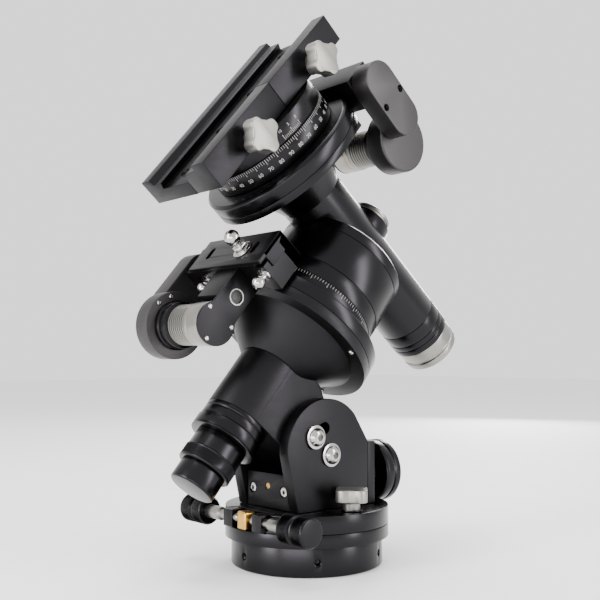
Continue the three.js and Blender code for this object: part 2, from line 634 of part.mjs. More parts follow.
// ---- slotted bracket and ball stud on the polar worm block ----
const bx = BLOCK.x1 + GAP;
function bracket() {
  const plate = box(bx, bx + 4, BLOCK.y0 + 12, BLOCK.y1 + 2, BLOCK.z0 - 1, BLOCK.z1 + 4);
  const flange = box(BLOCK.x0 + 6, bx + 4, BLOCK.y0 + 12, BLOCK.y1 + 2, BLOCK.z1 + GAP, BLOCK.z1 + 4);
  const y0 = HEAD_Y + GAP;
  const y1 = BLOCK.y1 + 2;
  const head = join(
    box(noseX + GAP, bx + 4, y0, y1, lipZ + GAP, BLOCK.z1 + 4),
    box(BLOCK.x0 + 6, bx + 4, y0, y1, noseZ + GAP, BLOCK.z1 + 4),
  );
  const slots = [-30, 35].map((y) => box(bx - 1, bx + 5, y - 3, y + 3, -2, 12));
  return cut(join(plate, flange, head), ...slots);
}

function ballStud() {
  const x = bx + 4 + GAP;
  const ball = arc(0, x + 15, 7, -55, 90, 8).map(([r, z]) => [Math.max(r, 0.01), z]);
  ball.pop();
  return turnedX([[9.5, x], [9.5, x + 1.2], [6.8, x + 1.4], [6.8, x + 6], [3.2, x + 6.2], ...ball], 20, 3,
    SMALL);
}

add('polar_bracket', bracket(), BLACK, POLAR_MODULE);
add('polar_ball_stud', ballStud(), STEEL, POLAR_MODULE);

export default part;
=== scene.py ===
import math
import json

import bmesh
import bpy
from mathutils import Matrix, Vector


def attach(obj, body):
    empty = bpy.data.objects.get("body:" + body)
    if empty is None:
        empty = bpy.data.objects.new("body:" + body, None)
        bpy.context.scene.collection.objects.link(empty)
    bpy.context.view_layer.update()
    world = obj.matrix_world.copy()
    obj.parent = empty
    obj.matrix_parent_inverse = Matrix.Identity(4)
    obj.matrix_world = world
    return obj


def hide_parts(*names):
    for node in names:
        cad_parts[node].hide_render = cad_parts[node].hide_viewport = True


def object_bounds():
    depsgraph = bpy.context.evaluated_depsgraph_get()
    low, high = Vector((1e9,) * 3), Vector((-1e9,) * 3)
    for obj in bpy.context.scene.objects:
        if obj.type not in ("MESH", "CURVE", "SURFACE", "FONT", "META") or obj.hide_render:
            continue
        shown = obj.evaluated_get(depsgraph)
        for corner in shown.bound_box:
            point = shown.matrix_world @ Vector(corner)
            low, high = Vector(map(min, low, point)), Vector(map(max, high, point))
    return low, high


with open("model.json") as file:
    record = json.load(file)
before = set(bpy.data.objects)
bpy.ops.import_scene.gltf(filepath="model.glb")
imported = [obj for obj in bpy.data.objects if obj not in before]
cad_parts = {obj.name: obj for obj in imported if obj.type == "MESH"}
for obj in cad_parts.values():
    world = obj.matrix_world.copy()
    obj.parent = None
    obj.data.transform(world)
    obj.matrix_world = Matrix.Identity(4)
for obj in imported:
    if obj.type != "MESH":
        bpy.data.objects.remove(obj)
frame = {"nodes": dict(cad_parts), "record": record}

bl_info = {
    "name": "Telescope Mount Head",
    "version": (1, 0, 0),
    "blender": (4, 5, 0),
    "location": "3D View > Sidebar > Mount",
    "description": "Builds a two-axis telescope mount head from its packed frame",
    "category": "Add Mesh",
}

CAD_BOX = [list(corner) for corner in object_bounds()]
JOINTS = {j["name"]: j for j in frame["record"]["behaviour"]["joints"]}
MM = 0.001


# ---- frames
def axis_frame(joint):
    """Frame with Z along a hinge axis that lies in the XZ plane, and Y kept."""
    z = Vector(JOINTS[joint]["axis"]).normalized()
    y = Vector((0.0, 1.0, 0.0))
    x = y.cross(z)
    made = Matrix((x, y, z)).transposed().to_4x4()
    made.translation = Vector(JOINTS[joint]["pos_m"])
    return made


def shifted(base, x=0.0, y=0.0, z=0.0):
    """Frame moved by millimetres."""
    return base @ Matrix.Translation(Vector((x, y, z)) * MM)


BLACK, SILVER = "black_anodised", "silver_aluminium"  # material slots of the record
WORLD = Matrix.Identity(4)
CASE_WALL = 4.7  # wall of the wheel cases, in millimetres like all that follow
WINDOW_R = 9.2  # passage of a worm
WINDOW_Y = 48  # half its length in the wheel cases
HOUSING_BORE_R = 20  # room for a bearing
SHAFT_HOLE_R = 15.3  # room for a shaft
BARREL_R = 29.7  # barrel and half width of the polar housing
STUD_HOLE_R = 5.4
SCREW_HOLE_R = 4.4
PULLEY_R = 11.8
PROUD = 0.05  # height of scale paint over its surface
POLAR = axis_frame("polar_axis")
SADDLE = axis_frame("saddle_axis")


def module_frame(base, worm_joint):
    """Frame on the wheel axis at worm height, turned so the worm lies at +X."""
    worm = base.inverted() @ Vector(JOINTS[worm_joint]["pos_m"])
    made = base @ Matrix.Translation((0.0, 0.0, worm.z))
    return made @ Matrix.Rotation(math.pi, 4, "Z") if worm.x < 0 else made


POLAR_DRIVE = module_frame(POLAR, "polar_worm_spin")
SADDLE_DRIVE = module_frame(SADDLE, "saddle_worm_spin")
WORM_X = abs((POLAR.inverted() @ Vector(JOINTS["polar_worm_spin"]["pos_m"])).x) / MM
SHARP_ANGLE = 32.0  # degrees between faces from which an edge is drawn sharp
ALONG_X = Matrix.Rotation(math.pi / 2, 4, "Y")
ALONG_Y = Matrix.Rotation(-math.pi / 2, 4, "X")
ALONG_MINUS_Y = Matrix.Rotation(math.pi / 2, 4, "X")
UP = ALONG_MINUS_Y  # the same turn stands a prism up along Z
SIDEWAYS = Matrix.Rotation(-math.pi / 2, 4, "Z")  # lays a prism along X


def across(base, x, z=0.0):
    """Frame at x and z whose own Z runs along Y."""
    return shifted(base, x, 0, z) @ ALONG_Y


def span(node, base=WORLD):
    """Lowest and highest corner of a CAD node in a frame, in millimetres."""
    back = base.inverted()
    points = [back @ v.co / MM for v in frame["nodes"][node].data.vertices]
    low = Vector([min(p[i] for p in points) for i in range(3)])
    high = Vector([max(p[i] for p in points) for i in range(3)])
    return low, high


# ---- settings
def length_prop(name, description, default):
    return bpy.props.FloatProperty(
        name=name, description=description, default=default, min=0, precision=5, unit="LENGTH"
    )


class MountSizes(bpy.types.PropertyGroup):
    """Sizes of the details."""

    ease: length_prop("Edge", "Broken edge on turned pieces", 0.0005)
    bevel: length_prop("Bevel", "Bevel on milled pieces", 0.0006)
    groove: length_prop("Groove", "Depth of witness grooves", 0.0007)
    tick: length_prop("Tick", "Width of a scale tick", 0.00028)
    floor: length_prop("Floor", "Half width of the studio floor", 6.0)
    sides: bpy.props.IntProperty(
        name="Sides", description="Steps round a large turned piece", default=160, min=12
    )


def size(name):
    """A detail size in millimetres."""
    return round(getattr(bpy.context.scene.mount_sizes, name) / MM, 4)


def colour_prop(name, default):
    return bpy.props.FloatVectorProperty(
        name=name, description=f"{name}, linear", default=default, subtype="COLOR", min=0, max=1
    )


def linear(code):
    """Hex sRGB to linear RGB."""
    out = []
    for i in (0, 2, 4):
        c = int(code[i : i + 2], 16) / 255
        out.append(c / 12.92 if c <= 0.04045 else ((c + 0.055) / 1.055) ** 2.4)
    return tuple(out)


class MountColours(bpy.types.PropertyGroup):
    """Colours of the finishes."""

    black: colour_prop("Black anodised", linear("262527"))
    # painted light: this blasted grey is lighter than the black anodised so the blasted pieces look
    # lit; the blasting itself is only roughness and bump
    grey: colour_prop("Blasted black anodised", linear("454344"))
    silver: colour_prop("Natural aluminium", linear("8A8883"))
    steel: colour_prop("Stainless steel", linear("AFADAB"))
    brass: colour_prop("Brass", linear("C99B4A"))
    bronze: colour_prop("Bronze", linear("B58A57"))
    paint: colour_prop("Scale paint", linear("A09F9B"))
    plastic: colour_prop("Black plastic", linear("18181A"))
    backdrop: colour_prop("Backdrop", linear("F4F4F3"))


# ---- materials
BUMP_DEPTH = 0.00004  # metres


def node(tree, kind, inputs=(), **props):
    """Adds a shader node, sets its properties and its input values or links."""
    made = tree.nodes.new(kind)
    for key, value in props.items():
        setattr(made, key, value)
    for key, value in dict(inputs).items():
        if isinstance(value, bpy.types.NodeSocket):
            tree.links.new(value, made.inputs[key])
        else:
            made.inputs[key].default_value = value
    return made


def material(name, colour, metallic, roughness, grain=None, strength=0.0, speckle=0.0):
    """Principled finish. grain stretches the noise that carries bump and roughness changes."""
    if name in bpy.data.materials:
        return bpy.data.materials[name]
    mat = bpy.data.materials.new(name)
    mat.use_nodes = True
    tree = mat.node_tree
    shader = tree.nodes["Principled BSDF"]
    shader.inputs["Base Color"].default_value = (*colour, 1.0)
    shader.inputs["Metallic"].default_value = metallic
    shader.inputs["Roughness"].default_value = roughness
    if grain:
        spot = node(tree, "ShaderNodeTexCoord").outputs["Object"]
        stretch = node(tree, "ShaderNodeMapping", {"Vector": spot, "Scale": grain})
        noise = node(tree, "ShaderNodeTexNoise", {"Scale": 1.0, "Detail": 4.0})
        tree.links.new(stretch.outputs["Vector"], noise.inputs["Vector"])
        level = noise.outputs["Fac"]
        reach = {"Value": level, "To Min": roughness - speckle, "To Max": roughness + speckle}
        rough = node(tree, "ShaderNodeMapRange", reach)
        tree.links.new(rough.outputs["Result"], shader.inputs["Roughness"])
        relief = {"Height": level, "Strength": strength, "Distance": BUMP_DEPTH}
        bump = node(tree, "ShaderNodeBump", relief)
        tree.links.new(bump.outputs["Normal"], shader.inputs["Normal"])
    return mat


TURNED, FINE = (900.0,) * 3, (2600.0,) * 3  # grain, cycles per metre along each axis
BRUSHED = (90.0, 90.0, 3200.0)
FINISHES = {
    # short name: material name, colour, metallic, roughness, grain, bump, change of roughness
    "black": ("Black anodised aluminium, turned", "black", 1.0, 0.26, TURNED, 0.02, 0.02),
    "brushed": ("Black anodised aluminium, brushed", "black", 1.0, 0.4, BRUSHED, 0.8, 0.17),
    # blasted: real blasted roughness and bump, on a base colour painted lighter to stand in for
    # light on lit faces
    "blasted": ("Black anodised aluminium, blasted", "grey", 1.0, 0.47, FINE, 0.35, 0.04),
    "matt": ("Black anodised aluminium, matt", "black", 1.0, 0.42, FINE, 0.25, 0.03),
    "silver": ("Natural aluminium, satin", "silver", 1.0, 0.3, (700.0, 700.0, 700.0), 0.1, 0.05),
    "knob": ("Natural aluminium, blasted", "silver", 1.0, 0.42, FINE, 0.3, 0.04),
    "steel": ("Stainless steel, bright", "steel", 1.0, 0.16),
    "brass": ("Brass, milled", "brass", 1.0, 0.3, (300.0, 300.0, 2600.0), 0.2, 0.05),
    "bronze": ("Bronze, turned", "bronze", 1.0, 0.36),
    "paint": ("White scale paint", "paint", 0.0, 0.5),
    "plastic": ("Black moulded plastic", "plastic", 0.0, 0.45),
}


def finish(*names):
    """Finishes by short name: one material, or a list of several."""
    colours = bpy.context.scene.mount_colours
    made = []
    for name in names:
        title, colour, *look = FINISHES[name]
        made.append(material(title, getattr(colours, colour), *look))
    return made[0] if len(made) == 1 else made


# ---- mesh tools
def smoothed(mesh, angle=SHARP_ANGLE):
    mesh.shade_smooth()
    mesh.set_sharp_from_angle(angle=math.radians(angle))


def added(name, mesh):
    """New object in the scene."""
    obj = bpy.data.objects.new(name, mesh)
    bpy.context.scene.collection.objects.link(obj)
    return obj


def finish_mesh(name, bm, place, mat, angle=SHARP_ANGLE):
    """Turns a bmesh in millimetres into a placed, smooth-shaded object at the origin."""
    bmesh.ops.remove_doubles(bm, verts=bm.verts, dist=1e-4)
    bmesh.ops.recalc_face_normals(bm, faces=bm.faces)
    mesh = bpy.data.meshes.new(name)
    bm.to_mesh(mesh)
    bm.free()
    mesh.transform(place @ Matrix.Scale(MM, 4))
    mesh.materials.append(mat)
    smoothed(mesh, angle)
    return added(name, mesh)


def eased(points, reach, closed=False):
    """Rounds the corners of a polyline of (r, z) points."""
    out = []
    n = len(points)
    for i, p in enumerate(points):
        if not closed and i in (0, n - 1):
            out.append(p)
            continue
        a = Vector(points[i - 1]) - Vector(p)
        b = Vector(points[(i + 1) % n]) - Vector(p)
        if a.length < 1e-6 or b.length < 1e-6 or a.angle(-b) < math.radians(18):
            out.append(p)
            continue
        k = min(reach, a.length * 0.42, b.length * 0.42)
        start = Vector(p) + a.normalized() * k
        end = Vector(p) + b.normalized() * k
        mid = (start + end) * 0.25 + Vector(p) * 0.5
        out += [tuple(start), tuple(mid), tuple(end)]
    return out


def lathe(name, profile, place, mat, sides=0, ease=None, closed=False):
    """Body turned about Z. An open profile is closed on the axis."""
    sides = sides or bpy.context.scene.mount_sizes.sides
    pts = list(profile) if closed else [(0.0, profile[0][1]), *profile, (0.0, profile[-1][1])]
    pts = eased(pts, size("ease") if ease is None else ease, closed)
    bm = bmesh.new()
    rings = []
    for r, z in pts:
        if r < 1e-6:
            rings.append([bm.verts.new((0, 0, z))])
            continue
        turn = [2 * math.pi * k / sides for k in range(sides)]
        rings.append([bm.verts.new((r * math.cos(a), r * math.sin(a), z)) for a in turn])
    pairs = list(zip(rings, rings[1:])) + ([(rings[-1], rings[0])] if closed else [])
    for lower, upper in pairs:
        for k in range(sides):
            m = (k + 1) % sides
            ring = [lower[k % len(lower)], lower[m % len(lower)], upper[m % len(upper)],
                    upper[k % len(upper)]]
            ring = list(dict.fromkeys(ring))
            if len(ring) > 2:
                bm.faces.new(ring)
    return finish_mesh(name, bm, place, mat)


def prism(name, outline, low, high, place, mat, bevel=None, angle=SHARP_ANGLE):
    """Outline in X and Z drawn out along Y, with bevelled edges."""
    bm = bmesh.new()
    near = [bm.verts.new((x, low, z)) for x, z in outline]
    far = [bm.verts.new((x, high, z)) for x, z in outline]
    bm.faces.new(near)
    bm.faces.new(far)
    for i in range(len(outline)):
        j = (i + 1) % len(outline)
        bm.faces.new((near[i], near[j], far[j], far[i]))
    bmesh.ops.recalc_face_normals(bm, faces=bm.faces)
    width = size("bevel") if bevel is None else bevel
    if width:
        hard = [e for e in bm.edges if e.calc_face_angle(0.0) > math.radians(28)]
        bmesh.ops.bevel(bm, geom=hard, offset=width, segments=3, profile=0.5, affect="EDGES",
                        clamp_overlap=True)
    return finish_mesh(name, bm, place, mat, angle)


def block(name, low, high, place, mat, bevel=None):
    corners = [(low[0], low[2]), (high[0], low[2]), (high[0], high[2]), (low[0], high[2])]
    return prism(name, corners, low[1], high[1], place, mat, bevel)


def rod(name, r, z0, z1, place, mat, sides=48, ease=None):
    return lathe(name, [(r, z0), (r, z1)], place, mat, sides, ease)


def drill(r, z0, z1, place, sides=48):
    """Round cutter."""
    return rod("drill", r, z0, z1, place, None, sides, 0.0)


def punch(outline, low, high, place):
    """Cutter with any outline."""
    return prism("punch", outline, low, high, place, None, 0.0)


def baked(obj):
    """Replaces the mesh by what its modifiers make of it."""
    graph = bpy.context.evaluated_depsgraph_get()
    mesh = bpy.data.meshes.new_from_object(obj.evaluated_get(graph))
    obj.modifiers.clear()
    old, obj.data = obj.data, mesh
    bpy.data.meshes.remove(old)
    return obj


def carve(obj, cutters, operation="DIFFERENCE", bevel=0.0):
    """Cuts or joins other bodies, which are then removed, and bevels the new edges."""
    for cutter in cutters:
        mod = obj.modifiers.new("cut", "BOOLEAN")
        mod.operation = operation
        mod.solver = "EXACT"
        mod.object = cutter
    baked(obj)
    for cutter in cutters:
        bpy.data.objects.remove(cutter)
    if bevel:
        mod = obj.modifiers.new("bevel", "BEVEL")
        mod.width = bevel * MM
        mod.segments = 2
        mod.limit_method = "ANGLE"
        mod.angle_limit = math.radians(40)
        baked(obj)
    if not obj.data.vertices:
        raise RuntimeError(f"{obj.name} came out empty")
    smoothed(obj.data)
    return obj


def put(obj, body, slot, *nodes):
    """Joins a piece to its CAD body."""
    obj.name = obj.name.replace(" ", "_")
    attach(obj, body)
    if nodes:
        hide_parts(*nodes)
    return obj


def arc(cx, cz, r, a0, a1, steps):
    """Points on a circle between two angles in degrees."""
    turn = [math.radians(a0 + (a1 - a0) * i / steps) for i in range(steps + 1)]
    return [(cx + r * math.cos(a), cz + r * math.sin(a)) for a in turn]


def hexagon(r):
    return arc(0, 0, r, 0, 300, 5)


# ---- repeats
def repeat_tree(name, turned):
    """Geometry Nodes tree that repeats its input: round Z, or along a step."""
    if name in bpy.data.node_groups:
        return bpy.data.node_groups[name]
    tree = bpy.data.node_groups.new(name, "GeometryNodeTree")
    sockets = [("Geometry", "Geometry"), ("Count", "Int"),
               ("Step", "Float" if turned else "Vector")]
    sockets += [("Start", "Float")] * turned + [("Material", "Material")]
    for title, kind in sockets:
        tree.interface.new_socket(title, in_out="INPUT", socket_type=f"NodeSocket{kind}")
    tree.interface.new_socket("Geometry", in_out="OUTPUT", socket_type="NodeSocketGeometry")
    given = tree.nodes.new("NodeGroupInput")
    line = node(tree, "GeometryNodeMeshLine", {"Count": given.outputs["Count"]})
    spread = node(tree, "GeometryNodeInstanceOnPoints", {"Instance": given.outputs["Geometry"]})
    if turned:
        line.inputs["Offset"].default_value = (0, 0, 0)
        index = node(tree, "GeometryNodeInputIndex")
        terms = {0: index.outputs["Index"], 1: given.outputs["Step"], 2: given.outputs["Start"]}
        turn = node(tree, "ShaderNodeMath", terms, operation="MULTIPLY_ADD")
        spin = node(tree, "ShaderNodeCombineXYZ", {"Z": turn.outputs[0]})
        tree.links.new(spin.outputs[0], spread.inputs["Rotation"])
    else:
        tree.links.new(given.outputs["Step"], line.inputs["Offset"])
    tree.links.new(line.outputs[0], spread.inputs["Points"])
    real = node(tree, "GeometryNodeRealizeInstances", {"Geometry": spread.outputs[0]})
    look = {"Geometry": real.outputs[0], "Material": given.outputs["Material"]}
    dressed = node(tree, "GeometryNodeSetMaterial", look)
    done = tree.nodes.new("NodeGroupOutput")
    tree.links.new(dressed.outputs[0], done.inputs[0])
    return tree


def repeated(obj, place, count, step, mat, start=0.0, turned=True):
    """Repeats a piece made in millimetre space at the origin, then places the whole set."""
    tree = repeat_tree("Round repeat" if turned else "Row repeat", turned)
    mod = obj.modifiers.new("repeat", "NODES")
    mod.node_group = tree
    values = {"Count": count, "Step": step, "Start": start, "Material": mat}
    for item in tree.interface.items_tree:
        if item.in_out == "INPUT" and item.name in values:
            mod[item.identifier] = values[item.name]
    baked(obj)
    obj.data.transform(place)
    smoothed(obj.data)
    return obj


def ring_of(obj, place, count, mat, first=0.0, step=None):
    """Repeats a piece round Z, from the first angle, evenly unless a step is given."""
    turn = math.radians(360 / count if step is None else step)
    return repeated(obj, place, count, turn, mat, math.radians(first))


def knurl(name, r, z0, z1, place, mat, count, depth):
    """Straight knurl: small ridges round a turned band."""
    half = math.pi * r / count * 0.62
    outline = [(r - 0.3, -half), (r + depth, 0.0), (r - 0.3, half)]
    bm = bmesh.new()
    low = [bm.verts.new((x, y, z0)) for x, y in outline]
    high = [bm.verts.new((x, y, z1)) for x, y in outline]
    bm.faces.new(low)
    bm.faces.new(high)
    for i in range(3):
        bm.faces.new((low[i], low[(i + 1) % 3], high[(i + 1) % 3], high[i]))
    return ring_of(finish_mesh(name, bm, WORLD, mat), place, count, mat)


def merged(name, objs):
    """Several pieces of one body as one object."""
    first = objs[0]
    mats = [first.data.materials[0]]
    bm = bmesh.new()
    for o in objs:
        mat = o.data.materials[0]
        if mat not in mats:
            mats.append(mat)
        before = len(bm.faces)
        bm.from_mesh(o.data)
        bm.faces.ensure_lookup_table()
        for f in bm.faces[before:]:
            f.material_index = mats.index(mat)
    mesh = bpy.data.meshes.new(name)
    bm.to_mesh(mesh)
    bm.free()
    for m in mats:
        mesh.materials.append(m)
    for o in objs:
        bpy.data.objects.remove(o)
    return added(name, mesh)


# ---- shared hardware
def socket_screw(name, r, height, key, place, mat, dome=False):
    """Screw head along +Z from its seat at z = 0, with a hexagon socket."""
    if dome:
        side = [(r, 0.0), (r * 0.97, height * 0.35), (r * 0.7, height * 0.8), (r * 0.42, height)]
    else:
        side = [(r, 0.0), (r, height)]
    head = lathe(name, side, place, mat, 48, 0.25)
    return carve(head, [punch(hexagon(key), height * 0.25, height * 2, place @ UP)])


def pan_screw(name, r, place, mat):
    """Small domed screw with a cross recess."""
    head = lathe(name, [(r, 0.0), (r * 0.9, r * 0.35), (r * 0.5, r * 0.6)], place, mat, 32, 0.1)
    arm = r * 0.62
    slots = [
        block("slot", (-arm, -0.16 * r, r * 0.3), (arm, 0.16 * r, r), place, mat, 0.0),
        block("slot", (-0.16 * r, -arm, r * 0.3), (0.16 * r, arm, r), place, mat, 0.0),
    ]
    return carve(head, slots)


def star_knob(name, r, hub_r, hub_h, head_h, place, mat):
    """Four-lobed hand knob standing on a round hub."""
    outline = []
    for i in range(112):
        a = 2 * math.pi * i / 112
        reach = r * (0.87 + 0.13 * math.tanh(1.6 * math.cos(4 * a)) / math.tanh(1.6))
        outline.append((reach * math.cos(a), reach * math.sin(a)))
    head = prism("head", outline, hub_h, hub_h + head_h, place @ UP, mat, 1.0, 40)
    hub = lathe("hub", [(hub_r, 0.0), (hub_r, hub_h * 0.8), (hub_r + 1.0, hub_h + 1)], place, mat,
                64)
    return merged(name, [head, hub])


def numbers(name, labels, r, tall, z, place, mat, first, step):
    """Engraved numbers wrapped round a cylinder, feet towards -Z."""
    pieces = []
    for i, text in enumerate(labels):
        curve = bpy.data.curves.new(name, "FONT")
        curve.body = text
        curve.size = tall
        curve.align_x = "CENTER"
        curve.extrude = 0.03
        temp = bpy.data.objects.new(name, curve)
        mesh = bpy.data.meshes.new_from_object(temp)
        bpy.data.objects.remove(temp)
        middle = math.radians(first + step * i)
        for v in mesh.vertices:
            a, out = middle + v.co.x / r, r + PROUD + v.co.z
            v.co = (out * math.cos(a), out * math.sin(a), z + v.co.y)
        mesh.transform(place @ Matrix.Scale(MM, 4))
        mesh.materials.clear()
        mesh.materials.append(mat)
        pieces.append(added(name, mesh))
    return merged(name, pieces)


def ticks(name, r, z0, z1, place, mat, count, first, step, width=None):
    """Painted tick marks standing a hair proud of a cylinder."""
    w = (size("tick") if width is None else width) / 2
    mark = block(name, (r - 0.2, -w, z0), (r + PROUD, w, z1), WORLD, mat, 0.0)
    return ring_of(mark, place, count, mat, first, step)


# ---- base and azimuth table
PEG = span("azimuth_peg")
TABLE = span("azimuth_plate")
PEG_X = (PEG[0].x + PEG[1].x) / 2
SCREW_Z = (span("screw_block_far")[0].z + span("screw_block_far")[1].z) / 2 + 0.85  # screw axis
PIVOT = Vector(JOINTS["altitude_tilt"]["pos_m"]) / MM


def build_base():
    black = finish("black")
    low, high = span("pier_adapter")
    r = high.x
    drum = lathe("Pier adapter", [(r - 1.2, 0.0), (r, 1.2), (r, high.z)], WORLD, black)
    aims = [Matrix.Rotation(math.radians(57 + 60 * i), 4, "Z") @ shifted(WORLD,
                                                                         z=high.z / 2) @ ALONG_X
            for i in range(6)]
    holes = [drill(3.3, r - 13, r + 2, aim, 40) for aim in aims]
    put(carve(drum, holes, bevel=0.35), "base", BLACK, "pier_adapter")
    threads = []
    for aim in aims:
        turn = lathe("thread", [(3.35, 0.0), (2.9, 0.3), (3.35, 0.6)], WORLD, black, 32, 0.0, True)
        threads.append(repeated(turn, aim @ Matrix.Translation((0, 0, (r - 12) * MM)), 12,
                                (0, 0, 0.9 * MM), black, turned=False))
    put(merged("Pier screw threads", threads), "base", BLACK)
    low, high = span("azimuth_base")
    plate = [(high.x, low.z), (high.x, TABLE[0].z - 0.3), (24, TABLE[0].z - 0.3), (24, high.z)]
    put(lathe("Azimuth base", plate, WORLD, black), "base", BLACK, "azimuth_base")
    peg = block("Azimuth peg", PEG[0], PEG[1], WORLD, finish("brass"), 1.4)
    put(peg, "base", "brass", "azimuth_peg")
    low, high = span("azimuth_pivot_bolt")
    seat = TABLE[1].z + 0.6
    bolt = [(8, low.z), (8, seat), (27, seat), (27, seat + 3.4), (14, seat + 3.4), (14, high.z)]
    head = lathe("Azimuth pivot bolt", bolt, WORLD, finish("steel"), 96)
    tool = punch(hexagon(6), high.z - 4, high.z + 1, UP)
    put(carve(head, [tool]), "base", "steel", "azimuth_pivot_bolt")


def cheek_outline():
    """Cheek with a round head over the pivot."""
    low, high = span("cheek_near")
    head = arc(PIVOT.x - 3.4, PIVOT.z + 4.3, 45.3, 184, 42, 48)
    return [(high.x, low.z), (high.x, PIVOT.z + 10.4), *reversed(head), (-46, low.z)]


def slot_outline(half):
    """Arc slot round the pivot, as long as the altitude range."""
    rest, r = 137.7, 24.6  # where the clamp stud stands at rest, in degrees, and its circle
    fall, rise = JOINTS["altitude_tilt"]["range_deg"]
    a0, a1 = rest + fall, rest + rise
    end1 = arc(PIVOT.x, PIVOT.z, r, a1, a1, 1)[0]
    end0 = arc(PIVOT.x, PIVOT.z, r, a0, a0, 1)[0]
    outer = arc(PIVOT.x, PIVOT.z, r + half, a0, a1, 16)
    inner = arc(PIVOT.x, PIVOT.z, r - half, a1, a0, 16)
    cap1 = arc(*end1, half, a1, a1 + 180, 12)[1:-1]
    cap0 = arc(*end0, half, a0 + 180, a0 + 360, 12)[1:-1]
    return outer + cap1 + inner + cap0


def build_table():
    black, brushed = finish("black", "brushed")
    low, high = TABLE
    plate = lathe("Azimuth plate", [(high.x, low.z), (high.x, high.z)], WORLD, black, ease=0.7)
    notch = block("notch", (-high.x - 8, -27.3, low.z - 1), (PEG_X + 10, 27.3, high.z + 1), WORLD,
                  black, 0.0)
    groove = drill(7, -high.x, high.x, across(WORLD, PEG_X, SCREW_Z))
    bore = drill(24.4, low.z - 1, high.z + 1, WORLD, 96)
    put(carve(plate, [notch, groove, bore], bevel=0.35), "azimuth_table", BLACK, "azimuth_plate")
    for side in ("near", "far"):
        low, high = span(f"cheek_{side}")
        cheek = prism(f"Cheek {side}", cheek_outline(), low.y, high.y, WORLD, brushed, 0.5)
        slot = punch(slot_outline(5.4), low.y - 1, high.y + 1, WORLD)
        pivot = drill(STUD_HOLE_R, low.y - 1, high.y + 1, across(WORLD, PIVOT.x, PIVOT.z))
        put(carve(cheek, [slot, pivot]), "azimuth_table", BLACK, f"cheek_{side}")
        low, high = span(f"screw_block_{side}")
        shoe = block(f"Screw block {side}", low, high, WORLD, brushed, 0.5)
        hole = drill(SCREW_HOLE_R, low.y - 1, high.y + 1, across(WORLD, PEG_X, SCREW_Z), 40)
        put(carve(shoe, [hole]), "azimuth_table", BLACK, f"screw_block_{side}")
    low, high = span("front_block")
    front = block("Front cross block", low, high, WORLD, brushed, 0.6)
    heads, bores = [], []
    for y in (-22, 22):
        aim = shifted(WORLD, low.x, y, 68.5) @ ALONG_X.inverted()
        bores.append(drill(5.0, -5, 2, aim, 40))
        heads.append(socket_screw("Front screw", 4.3, 4.4, 2.2, aim @ shifted(WORLD, z=-4.7),
                                  finish("steel")))
    aim = shifted(WORLD, low.x, 0, 72) @ ALONG_X.inverted()
    bores.append(drill(3.0, -3, 2, aim, 32))
    put(carve(front, bores, bevel=0.25), "azimuth_table", BLACK, "front_block")
    put(merged("Front screws", heads), "azimuth_table", "steel")
    put(rod("Bronze plug", 2.8, -2.9, -0.2, aim, finish("bronze")), "azimuth_table", "bronze")
    low, high = span("rear_plate")
    rear = block("Rear cross plate", low, high, WORLD, brushed, 0.7)
    hole = drill(6.4, low.x - 1, high.x + 1, shifted(WORLD, z=75.3) @ ALONG_X, 40)
    put(carve(rear, [hole]), "azimuth_table", BLACK, "rear_plate")


